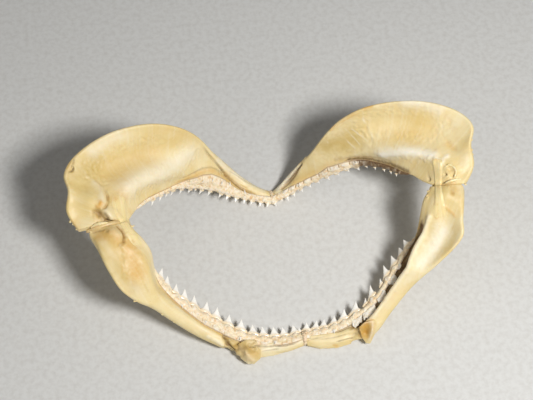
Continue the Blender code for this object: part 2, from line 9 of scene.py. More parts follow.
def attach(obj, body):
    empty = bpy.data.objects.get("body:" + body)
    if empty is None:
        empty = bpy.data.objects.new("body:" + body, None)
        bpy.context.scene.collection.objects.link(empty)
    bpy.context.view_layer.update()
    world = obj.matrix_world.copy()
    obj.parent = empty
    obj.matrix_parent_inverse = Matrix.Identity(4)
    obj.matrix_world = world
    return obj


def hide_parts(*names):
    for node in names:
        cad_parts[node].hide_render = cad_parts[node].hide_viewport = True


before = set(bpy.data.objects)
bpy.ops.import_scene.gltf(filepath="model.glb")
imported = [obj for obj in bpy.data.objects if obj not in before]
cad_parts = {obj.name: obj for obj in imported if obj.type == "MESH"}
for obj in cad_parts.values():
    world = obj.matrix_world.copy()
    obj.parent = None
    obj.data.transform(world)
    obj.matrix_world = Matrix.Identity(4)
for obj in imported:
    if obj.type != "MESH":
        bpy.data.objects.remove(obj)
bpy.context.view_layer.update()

# The dried, spread jaw of a requiem shark, lying on its front.
# Shapes are worked out in millimetres, in the ribs' own coordinates: x across the jaw,
# y from the lower jaw to the upper, z up. They become metres when a mesh is made.

mm = 0.001
jawOrigin = np.array((-0.4, 1.1, 1.6))     # the frame's origin, on the floor under the jaw
clearance = 0.35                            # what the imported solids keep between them
rng = np.random.default_rng(7)


def unit(vector):
    return np.array(vector, dtype=float) / max(np.linalg.norm(vector), 1e-9)


def curveThrough(rows, places, width=3):
    # a smooth curve through the rows, read at places from 0 to 1 along it
    points = np.array(rows, dtype=float)
    steps = np.linalg.norm(np.diff(points[:, :width], axis=0), axis=1)
    knots = np.concatenate(([0.0], np.cumsum(steps)))
    slopes = np.zeros_like(points)
    slopes[1:-1] = (points[2:] - points[:-2]) / (knots[2:] - knots[:-2])[:, None]
    slopes[0] = (points[1] - points[0]) / (knots[1] - knots[0])
    slopes[-1] = (points[-1] - points[-2]) / (knots[-1] - knots[-2])
    wanted = np.asarray(places, dtype=float) * knots[-1]
    row = np.clip(np.searchsorted(knots, wanted, side="right") - 1, 0, len(points) - 2)
    span = (knots[row + 1] - knots[row])[:, None]
    t = (wanted - knots[row])[:, None] / span
    start = (2 * t ** 3 - 3 * t ** 2 + 1) * points[row] + (t ** 3 - 2 * t ** 2 + t) * span * slopes[row]
    end = (3 * t ** 2 - 2 * t ** 3) * points[row + 1] + (t ** 3 - t ** 2) * span * slopes[row + 1]
    return start + end


def smoothTable(table, place):
    # the values of a table at a place in its first column, eased between its rows
    rows = np.array(table, dtype=float)
    index = int(np.clip(np.searchsorted(rows[:, 0], place, side="right") - 1, 0, len(rows) - 2))
    t = np.clip((place - rows[index, 0]) / (rows[index + 1, 0] - rows[index, 0]), 0.0, 1.0)
    t = 0.5 * t + 0.5 * t * t * (3 - 2 * t)
    return rows[index, 1:] * (1 - t) + rows[index + 1, 1:] * t


def toWorld(points):
    return (np.asarray(points, dtype=float) - jawOrigin) * mm


def meshFrom(name, points, faces):
    # a mesh from points in millimetres, with its faces turned outward
    mesh = bpy.data.meshes.new(name)
    mesh.from_pydata(toWorld(points).tolist(), [], faces)
    mesh.update()
    shape = bmesh.new()
    shape.from_mesh(mesh)
    bmesh.ops.recalc_face_normals(shape, faces=shape.faces)
    shape.to_mesh(mesh)
    shape.free()
    return mesh


def gridFaces(rows, columns, start=0, closed=True):
    # quads between rows of points; each row is a ring if closed
    faces = []
    last = columns if closed else columns - 1
    for row in range(rows - 1):
        for column in range(last):
            beside = (column + 1) % columns
            a, b = start + row * columns, start + (row + 1) * columns
            faces.append((a + column, a + beside, b + beside, b + column))
    return faces


def tube(rings, start=0):
    # a closed body through rings of points
    rings = np.asarray(rings, dtype=float)
    rows, columns = rings.shape[:2]
    faces = gridFaces(rows, columns, start)
    faces.append(tuple(start + index for index in reversed(range(columns))))
    faces.append(tuple(start + (rows - 1) * columns + index for index in range(columns)))
    return rings.reshape(-1, 3), faces


def joinShells(shells):
    points, faces, start = [], [], 0
    for shellPoints, shellFaces in shells:
        points.append(np.asarray(shellPoints))
        faces += [tuple(start + index for index in face) for face in shellFaces]
        start += len(points[-1])
    return np.concatenate(points), faces


def hullShell(corners):
    # the faceted body that stretches over a few corners
    shape = bmesh.new()
    for corner in corners:
        shape.verts.new(corner)
    bmesh.ops.convex_hull(shape, input=shape.verts[:])
    loose = [vert for vert in shape.verts if not vert.link_faces]
    bmesh.ops.delete(shape, geom=loose, context="VERTS")
    shape.verts.index_update()
    points = np.array([vert.co[:] for vert in shape.verts])
    faces = [tuple(vert.index for vert in face.verts) for face in shape.faces]
    shape.free()
    return points, faces


def link(name, mesh, material):
    piece = bpy.data.objects.new(name, mesh)
    bpy.context.scene.collection.objects.link(piece)
    mesh.materials.clear()
    mesh.materials.append(material)
    return piece


def addPiece(name, mesh, material, slot, *nodes):
    # a piece of the jaw: every one rides on the only body, and may stand for a node
    piece = link(name, mesh, material)
    mesh.shade_smooth()
    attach(piece, "root")
    if nodes:
        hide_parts(*nodes)
    print(name, len(mesh.polygons), "faces")
    return piece


def cutAway(mesh, planes, reach=1000.0):
    # takes off what lies beyond each plane (point, outward direction) and closes the cut;
    # a plane only cuts within its reach
    shape = bmesh.new()
    shape.from_mesh(mesh)
    for point, direction in planes:
        spot = Vector(toWorld(point))
        near = {vert for vert in shape.verts if (vert.co - spot).length < reach * mm}
        geometry = [vert for vert in shape.verts if vert in near]
        geometry += [edge for edge in shape.edges if near.issuperset(edge.verts)]
        geometry += [face for face in shape.faces if near.issuperset(face.verts)]
        bmesh.ops.bisect_plane(
            shape, geom=geometry, plane_co=toWorld(point), plane_no=direction, clear_outer=True)
        openEdges = [edge for edge in shape.edges if edge.is_boundary]
        bmesh.ops.holes_fill(shape, edges=openEdges, sides=0)
    bmesh.ops.triangulate(shape, faces=shape.faces[:])
    bmesh.ops.recalc_face_normals(shape, faces=shape.faces)
    shape.to_mesh(mesh)
    shape.free()


def remeshed(name, mesh, voxel, rounds):
    # one even skin over all the shells of a mesh, with its joins rounded off
    holder = bpy.data.objects.new(name + "Raw", mesh)
    bpy.context.scene.collection.objects.link(holder)
    skin = holder.modifiers.new("skin", "REMESH")
    skin.mode = "VOXEL"
    skin.voxel_size = voxel * mm
    ease = holder.modifiers.new("ease", "SMOOTH")
    ease.factor = 0.5
    ease.iterations = rounds
    bpy.context.view_layer.update()
    ready = bpy.data.meshes.new_from_object(holder.evaluated_get(bpy.context.evaluated_depsgraph_get()))
    ready.name = name
    bpy.data.objects.remove(holder, do_unlink=True)
    return ready


def pointsOf(mesh):
    flat = np.empty(len(mesh.vertices) * 3)
    mesh.vertices.foreach_get("co", flat)
    return flat.reshape(-1, 3) / mm + jawOrigin


def normalsOf(mesh):
    flat = np.empty(len(mesh.vertices) * 3)
    mesh.vertex_normals.foreach_get("vector", flat)
    return flat.reshape(-1, 3)


def setPoints(mesh, points):
    mesh.vertices.foreach_set("co", toWorld(points).ravel())
    mesh.update()


def distanceTo(points, path):
    # from each point to the nearest place on a path, and which part of the path that is
    path = np.array(path, dtype=float)
    nearest, part = np.full(len(points), 1e9), np.zeros(len(points))
    for index, (start, end) in enumerate(zip(path, path[1:])):
        run = end - start
        t = np.clip((points - start) @ run / (run @ run), 0.0, 1.0)
        away = np.linalg.norm(points - start - t[:, None] * run, axis=1)
        part = np.where(away < nearest, (index + t) / (len(path) - 1), part)
        nearest = np.minimum(nearest, away)
    return nearest, part


def lumps(points, size, seed=0.0):
    # soft noise from -1 to 1 with lumps of a size in millimetres
    shift = Vector((seed, 2.7 * seed, -1.3 * seed))
    return np.array([noise.noise(Vector(point) + shift) for point in np.asarray(points) / size])


def addMarks(mesh, marks):
    for name, values in marks.items():
        layer = mesh.attributes.new(name, "FLOAT", "POINT")
        layer.data.foreach_set("value", np.asarray(values, dtype=np.float32))


# The cartilages, each swept along its ribs and then worked on its inner face.
boneDetail = {
    "ribs": 230, "facePoints": 44, "voxel": 0.5, "easing": 5, "ribCount": 23,
    "mostRidge": 0.6, "mostGum": 0.8,                    # shares of a short section's length
    "rimBead": (1.8, 1.7, 0.7), "rimCurl": (5, 0.9),     # the thickened edge: where, width, height
    "rimFrom": (0.30, 0.12), "rimTo": (0.99, 0.08),      # where it starts and ends along the plate
    "cutReach": 75.0,                                    # how far the joint's cuts reach
    "uneven": ((14.0, 0.0, 0.14), (3.5, 5.0, 0.03)),     # slow swells: size, seed and height
    "wander": (2.5, 9.0, 0.3),                           # how features waver: size, seed, share
    "lineSpacing": {"upper": (1.5, 26.0), "lower": (24.0, 1.3)},     # growth lines, along and across
    "lineGrid": (90, 16), "lineRise": 0.05, "lineSeed": 3.0,
    "thinBelow": 1.3, "thinEnds": 0.18,                  # narrow features thin out over their ends
    "pathSteps": 24, "floorEase": 1.5,
}

upperForm = (             # how the section changes from the symphysis (0) to the joint (1):
    # ridge, its half thickness, width before and beyond it, arch, hollow, blade, stand back
    (0.00, 3.0, 2.6, 3.0, 4.0, 0.0, 0.0, 1.6, 2.2),
    (0.15, 5.0, 2.4, 4.0, 5.0, 0.5, 0.0, 1.2, 2.2),
    (0.30, 10.0, 2.8, 6.0, 8.0, 1.0, 0.8, 1.1, 2.2),
    (0.45, 15.0, 3.4, 7.0, 10.0, 1.5, 1.5, 1.1, 2.2),
    (0.60, 18.0, 4.2, 9.0, 11.0, 2.5, 3.0, 1.2, 2.0),
    (0.80, 18.0, 4.2, 10.0, 13.0, 2.5, 1.3, 1.4, 0.0),
    (1.00, 6.0, 3.4, 6.0, 8.0, 0.0, 0.0, 1.8, 0.0),
)
lowerLeftForm = (
    (0.00, 7.0, 3.8, 3.2, 4.0, 0.5, 0.0, 2.0, 2.2),
    (0.22, 8.5, 4.0, 3.4, 4.0, 0.5, 0.0, 1.8, 2.2),
    (0.42, 14.0, 4.2, 5.0, 8.0, 1.5, 0.0, 2.0, 2.2),
    (0.60, 15.0, 4.6, 6.5, 10.0, 2.0, 0.5, 1.6, 2.0),
    (0.80, 13.0, 4.0, 8.0, 12.0, 2.0, 1.5, 1.5, 0.0),
    (1.00, 14.0, 4.2, 9.0, 9.0, 0.5, 0.0, 2.6, 0.0),
)
lowerRightForm = (
    (0.00, 7.0, 3.8, 3.2, 4.0, 0.5, 0.0, 2.0, 2.2),
    (0.20, 8.5, 4.0, 3.4, 4.0, 0.5, 0.0, 1.8, 2.2),
    (0.35, 15.0, 4.6, 3.6, 6.0, 3.5, 0.0, 2.0, 2.2),
    (0.55, 15.5, 4.8, 3.8, 8.0, 6.0, 0.5, 1.6, 2.2),
    (0.72, 12.5, 4.4, 4.6, 11.0, 5.0, 2.0, 1.5, 1.5),
    (0.85, 10.0, 4.0, 8.0, 12.0, 2.0, 1.5, 1.8, 0.0),
    (1.00, 12.0, 4.2, 9.0, 9.0, 0.5, 0.0, 2.6, 0.0),
)

jointLeft = ((-107, 16.5, 71), (-138, 10.5, 76))
jointRight = ((115, 14, 72), (136, 10, 77))
jointRise = np.array((0.0, 0.9, 0.45))
jointCorners = {              # cut off the corners beside the joints: a point and the way out
    "upperLeft": (((-146, 13, 79), (-0.75, -0.66, 0)), ((-141.5, 9.8, 77), (-0.35, -0.94, 0)),
                  ((-111, 16.5, 72), (0.2, -0.98, 0))),
    "upperRight": (((144.5, 14.5, 83), (0.92, -0.4, 0)), ((141, 10.5, 80), (0.6, -0.8, 0))),
    "lowerLeft": (((-137.5, 10, 76), (-0.75, 0.66, 0)), ((-136, 5.5, 75), (-0.97, 0.2, 0))),
    "lowerRight": (((136.5, 7.5, 78), (0.66, 0.75, 0)), ((138.2, 2, 77), (0.96, 0.25, 0))),
}
midlines = {"upper": 3.5, "lower": 11.0}
midlineGap = 2.0

# Features are worked into the inner face: how wide, how high, how strongly they colour it
# (stains, painted shade and painted highlights), and their path. A path is points, or places
# along the cartilage at a distance beyond its gum or its ridge. One marked allRound works on the
# outer face too.
upperLeft = {
    "name": "upperLeft", "node": "palatoquadrate_left", "gumNode": "gum_upper_left",
    "jaw": "upper", "side": -1, "tongue": (0.3, -1, 0.5), "form": upperForm, "joint": jointLeft,
    "rim": 0.4,
    "gumWidths": (
        (0.0, 3.0), (0.09, 3.4), (0.14, 5.0), (0.20, 9.5), (0.27, 13.0), (0.32, 12.5), (0.38, 9.0),
        (0.43, 4.2), (0.48, 2.0), (0.70, 1.5)),
    "ribs": (             # end at the teeth x, y, z, then far end x, y, z
        (3.5, 50.8, 4.0, 3.5, 60, 5.5),
        (-12, 54, 7.2, -13.5, 64, 11.5),
        (-29, 57.2, 13.5, -27.5, 73, 22),
        (-44, 61, 20, -37, 79, 42),
        (-59, 61, 27, -49, 83, 66),
        (-72, 57, 36, -63, 83, 84),
        (-85, 46, 48, -83, 82, 95),
        (-96, 35, 58, -107, 77, 100),
        (-103, 25, 65, -126, 70, 99),
        (-106.5, 19.5, 68.5, -142.5, 58, 97.5),
        (-109, 17.5, 70.5, -149, 47.5, 94.5),
        (-111.5, 16, 72, -147.3, 37, 91),
        (-120, 14, 74, -150, 23, 84.5),
        (-131, 8, 75, -143, 9, 77),
    ),
    "rod": (
        (4.5, 57, 4.1, 3.7),
        (0.0, 58.4, 5.4, 3.9),
        (-8, 61.4, 8, 4.0),
        (-17, 67.3, 12.5, 3.7),
        (-26, 74, 20, 3.2),
        (-34, 78, 33, 2.3),
        (-41, 80, 47, 1.4),
    ),
    "swells": ((-133, 31, 82, 9, 4.5), (-119, 19, 78, 6, 3.0)),
    "features": {
        # the groove's brown is painted shadow around the lip; its amber is a stain
        "lipGroove": (1.0, -1.7, {"brown": 0.45, "amber": 0.5}, (
            (-129, 47, 87), (-125, 44, 85), (-121.5, 38, 84), (-119.5, 32, 85), (-119, 27, 85.5),
            (-122, 23, 85), (-127, 21.5, 83))),
        "lip": (2.6, 0.9, {"pale": 0.35}, (
            (-128, 42, 86), (-125, 37, 85), (-123.5, 31, 86), (-124, 27, 86))),
        "orangeSpot": (1.9, 0.3, {"amber": 1.0}, ((-126.5, 24, 86), (-125, 26, 86))),
        # the pit's brown is painted shade in the hollow; its amber is a stain
        "pit": (2.3, -3.2, {"amber": 0.5, "brown": 0.85}, (
            (-129, 21.5, 83), (-127, 19.5, 83), (-125, 17, 81), (-122.5, 15, 79), (-120, 13.5, 76))),
        "pitShade": (3.0, -0.4, {"amber": 0.35, "brown": 0.2}, ((-128.5, 18.5, 82), (-125.5, 15, 79))),
        "condyle": (2.6, 0.9, {"pale": 0.4}, ((-121.7, 19.6, 85), (-120, 17, 84), (-118, 14.5, 82))),
        "condyleShade": (1.1, -0.7, {"brown": 0.55}, (
            (-124, 20, 84), (-121.5, 16, 82), (-118.5, 11.5, 80))),
        "amberHollow": (4.6, -0.7, {"amber": 0.3, "olive": 0.55}, (
            (-115, 30, 84), (-112, 33, 84), (-108.5, 36, 82), (-108.5, 30, 78))),
        "amberVein": (0.9, 0.35, {"amber": 0.55}, ((-105, 36.5, 81), (-105.5, 31, 78), (-106, 25, 74))),
        "mouthCorner": (3.0, 0.0, {"amber": 0.25}, ((-105, 24, 70), (-103, 26, 68))),
        "wornCorner": (2.4, -0.3, {"brown": 0.12, "amber": 0.35}, ((-143.5, 57, 97.5), (-145, 52, 96))),
        "crack": (0.75, -0.8, {"brown": 1.0}, (
            (-140.2, 59, 98), (-140.6, 57, 98), (-141.2, 55.3, 97), (-141.9, 53.5, 96.2),
            (-141.4, 51.6, 95.5), (-142.2, 50.2, 95), (-144, 49.6, 94.9), (-146, 49, 95.8))),
        # the fold between the rod and the plate is darkened brown: painted shadow
        "frontFold": (0.8, -2.2, {"brown": 0.75}, (
            (-46, 79, 57), (-42, 77, 47), (-37, 74.5, 38), (-32.5, 72.5, 29), (-28, 69, 23),
            (-23.5, 65, 20), (-19, 62.5, 17.5), (-14, 60, 14), (-9, 58, 9))),
        "frontCrease": (1.4, -1.4, {"brown": 0.6, "amber": 0.5}, (
            (-31, 71, 26), (-28, 69, 21.5), (-25, 67, 19), (-22, 64, 17.5), (-19, 61.5, 15.5),
            (-15.5, 59.5, 14), (-12, 57.5, 12.5), (-8, 55.5, 10))),
        "gumCrease": (1.0, -0.5, {"brown": 0.45, "amber": 0.5}, (
            (-36, 64, 28), (-30, 62, 22.5), (-25, 59.5, 18.5), (-20, 57.3, 15), (-14, 55.3, 12),
            (-8, 54, 8))),
        "frontHollow": (2.0, -0.8, {"amber": 0.25}, ((-34, 70, 30), (-29, 67, 24), (-23, 63.5, 20))),
        "shelf": (2.2, 0.5, {"amber": 0.5}, {"places": (0.10, 0.44), "beyondGum": 2.0}),
        # a thin line of painted shade along the fold above the shelf
        "shelfLine": (0.7, -0.6, {"brown": 0.3}, {"places": (0.12, 0.44), "beyondGum": 4.6}),
        # the ridge is painted paler along its crest: a painted highlight
        "plateRidge": (8, 2.2, {"pale": 0.55}, (
            (-105, 39, 80), (-98, 45, 78), (-91, 49, 75), (-80, 56, 68), (-68, 66, 60), (-58, 74, 58))),
        # the olive here is painted shade in the plate's hollow
        "plateHollow": (10, -2.2, {"olive": 0.4}, ((-118, 52, 86), (-104, 62, 82), (-88, 68, 77))),
        "plateWarm": (9, 0.0, {"amber": 0.2}, (
            (-114, 47, 83), (-108, 54, 81), (-97, 62, 79), (-84, 69, 76))),
        "upperPale": (5, 0.6, {"pale": 0.4}, ((-124, 62, 97), (-116, 68, 99), (-105, 72, 99))),
        "leftShade": (10, 0.0, {"olive": 0.85}, ((-138, 48, 93), (-130, 52, 92), (-126, 56, 93))),
        "dorsalWarm": (7, 0.0, {"amber": 0.12}, ((-76, 80, 92), (-66, 80, 86), (-56, 79, 75))),
        "lowerLobe": (3.0, -0.3, {"amber": 0.3}, ((-146, 16, 82), (-142, 11, 79))),
        "rodSeamA": (0.45, -0.4, {"brown": 0.35}, (
            (-30, 74.5, 27), (-22, 71.5, 20), (-14, 67, 15), (-5, 62, 9.5))),
        "rodSeamB": (0.4, -0.3, {"brown": 0.25}, (
            (-26, 75.5, 23), (-18, 70.5, 16.5), (-8, 64.5, 10.5))),
        "rodPale": (3.0, 0.3, {"pale": 0.55}, (
            (-36, 77.5, 37), (-26, 74, 23), (-14, 68, 14), (-4, 62, 8))),
    },
}
upperRight = {
    "name": "upperRight", "node": "palatoquadrate_right", "gumNode": "gum_upper_right",
    "jaw": "upper", "side": 1, "tongue": (-0.3, -1, 0.5), "form": upperForm, "joint": jointRight,
    "rim": 0.25,
    "gumWidths": (
        (0.0, 3.0), (0.09, 4.2), (0.16, 5.2), (0.24, 7.2), (0.30, 11.0), (0.36, 10.0), (0.44, 6.0),
        (0.53, 3.2), (0.62, 2.2), (0.74, 1.0)),
    "ribs": (
        (3.5, 50.8, 4.0, 3.5, 60, 5.5),
        (18, 54.6, 8.5, 20, 64, 14),
        (31, 58.4, 14, 30, 69, 34),
        (43, 59.8, 20, 37, 69, 50),
        (55, 59, 28, 46, 71, 68),
        (66, 58, 35, 58, 74, 82),
        (77, 54, 42, 75, 75, 93),
        (89, 44, 51, 100, 74, 98),
        (98, 34, 59, 124, 68, 100),
        (105, 28, 65, 143, 58, 98),
        (111, 20, 69, 150.5, 46, 96),
        (116, 15, 72, 147, 34, 91),
        (123, 12, 74, 147, 20, 84),
        (131, 8, 76, 139, 8, 79),
    ),
    "rod": (
        (2.5, 57, 4.1, 3.7),
        (6.5, 58.4, 4.4, 3.7),
        (13, 62, 7.5, 3.6),
        (20, 66.5, 13, 3.4),
        (27, 69, 24, 2.6),
        (33, 69.5, 38, 1.6),
    ),
    "swells": ((138, 26, 87, 12, 0.8), (129, 16, 82, 6, 2.5)),
    "features": {
        # the fold between the rod and the plate is darkened brown: painted shadow
        "frontFold": (0.9, -2.0, {"brown": 0.8}, (
            (29, 68.5, 33), (26.5, 68, 27), (22, 66.5, 20), (18, 64.5, 15), (13, 63, 11))),
        "frontCrease": (1.3, -0.8, {"brown": 0.45, "amber": 0.4}, (
            (27, 68, 25), (23, 65.5, 20), (20, 64, 16), (16, 62, 13), (12, 60, 11))),
        "rodPale": (3.4, 0.3, {"pale": 0.7}, ((26, 69.5, 26), (18, 66.5, 15), (9, 61.5, 9))),
        "rodSeam": (0.4, -0.35, {"brown": 0.4}, ((22, 68.5, 20), (14, 64, 11), (8, 61, 8))),
        "shelf": (2.4, 0.4, {"amber": 0.3}, {"places": (0.10, 0.50), "beyondGum": 1.8}),
        # a line of painted shade under the plate's edge
        "shelfLine": (1.6, -0.5, {"brown": 0.25}, {"places": (0.34, 0.60), "beyondGum": 3.6}),
        # brown under the plate's edge, over the band: painted shadow of the overhanging plate
        "underPlate": (2.0, -0.8, {"brown": 0.8}, {"places": (0.40, 0.72), "beyondGum": 0.9}),
        "streakA": (0.6, 0.15, {"pale": 0.5}, ((65, 70, 73), (70, 67, 69), (77, 60, 67))),
        "streakB": (0.6, 0.15, {"pale": 0.45}, ((57, 69, 67), (63, 65, 61), (68, 59, 59))),
        "streakC": (0.7, 0.15, {"pale": 0.5}, ((74, 75, 90), (74, 71, 82), (78, 66, 74), (81, 60, 69))),
        "streakD": (0.5, 0.1, {"pale": 0.35}, ((60, 71, 74), (66, 67, 66), (72, 60, 62))),
        "streakE": (0.6, 0.1, {"pale": 0.35}, ((47, 69, 62), (50, 64, 52), (52, 61, 46))),
        "frontShade": (10, -0.8, {"olive": 1.0}, ((48, 67.5, 55), (57, 66, 59), (66, 64, 64))),
        "rimStain": (1.6, 0.0, {"amber": 1.0}, ((80, 75, 95), (74, 75, 92))),
        "rimAmber": (1.3, 0.1, {"amber": 0.45}, (
            (90, 75, 97), (74, 75, 91), (66, 73, 87), (57, 72.5, 80), (50, 71.5, 73))),
        "rimScar": (0.8, -0.3, {"amber": 0.6}, ((53, 70, 73), (57, 70.5, 76), (60, 71, 80))),
        # the ridge is painted paler along its crest: a painted highlight
        "plateRidge": (4.6, 1.7, {"pale": 0.9}, (
            (86, 50, 64), (92, 46.5, 70), (98, 44, 75), (111, 38, 82), (119, 33, 84))),
        "plateHollow": (11, -1.6, {}, ((84, 68, 80), (100, 64, 84), (118, 57, 87))),
        "plateYellow": (8, 0.0, {"amber": 0.1}, ((92, 60, 80), (106, 55, 83), (120, 50, 87))),
        "upperPale": (5, 0.5, {"pale": 0.5}, ((104, 72, 99), (118, 68, 99), (128, 62, 98))),
        "thickYellow": (2.2, 0.8, {"pale": 0.5}, (
            (109, 37, 80), (113, 33, 81), (117, 29.5, 83), (121, 27, 84))),
        "ligamentRoot": (2.0, 0.9, {"pale": 0.9}, ((121, 30, 85), (123, 26, 85))),
        "faintStain": (2.2, -0.5, {"amber": 0.35}, ((131, 41, 86), (134, 35, 87))),
        "cornerStain": (3.5, -0.3, {"amber": 0.2}, ((131, 57, 96), (133, 53, 95))),
        "slit": (1.0, -3.2, {"brown": 1.0}, ((126.2, 21, 83), (125.7, 18, 83), (125.2, 15, 83))),
        "pocket": (1.7, -1.3, {"amber": 0.3}, ((129, 18.5, 85), (129.5, 14.5, 84))),
        "pocketEdge": (0.9, 1.0, {"brown": 0.2}, (
            (128, 21.5, 85), (131.5, 19.5, 85.5), (132.5, 15, 84.5), (130, 11.5, 82.5))),
        "beads": (1.6, 0.7, {"pale": 0.8}, ((124, 25, 85), (126, 29, 86), (129, 30, 86))),
        # the brown gap beside the ligament strap is painted shadow
        "besideStrap": (1.1, -2.0, {"brown": 0.85}, (
            (112, 26, 78), (113.5, 21, 75.5), (114.5, 17, 74))),
        "jointKnob": (4, 0.8, {"pale": 0.25}, ((140, 20, 86), (142, 26, 88))),
    },
}
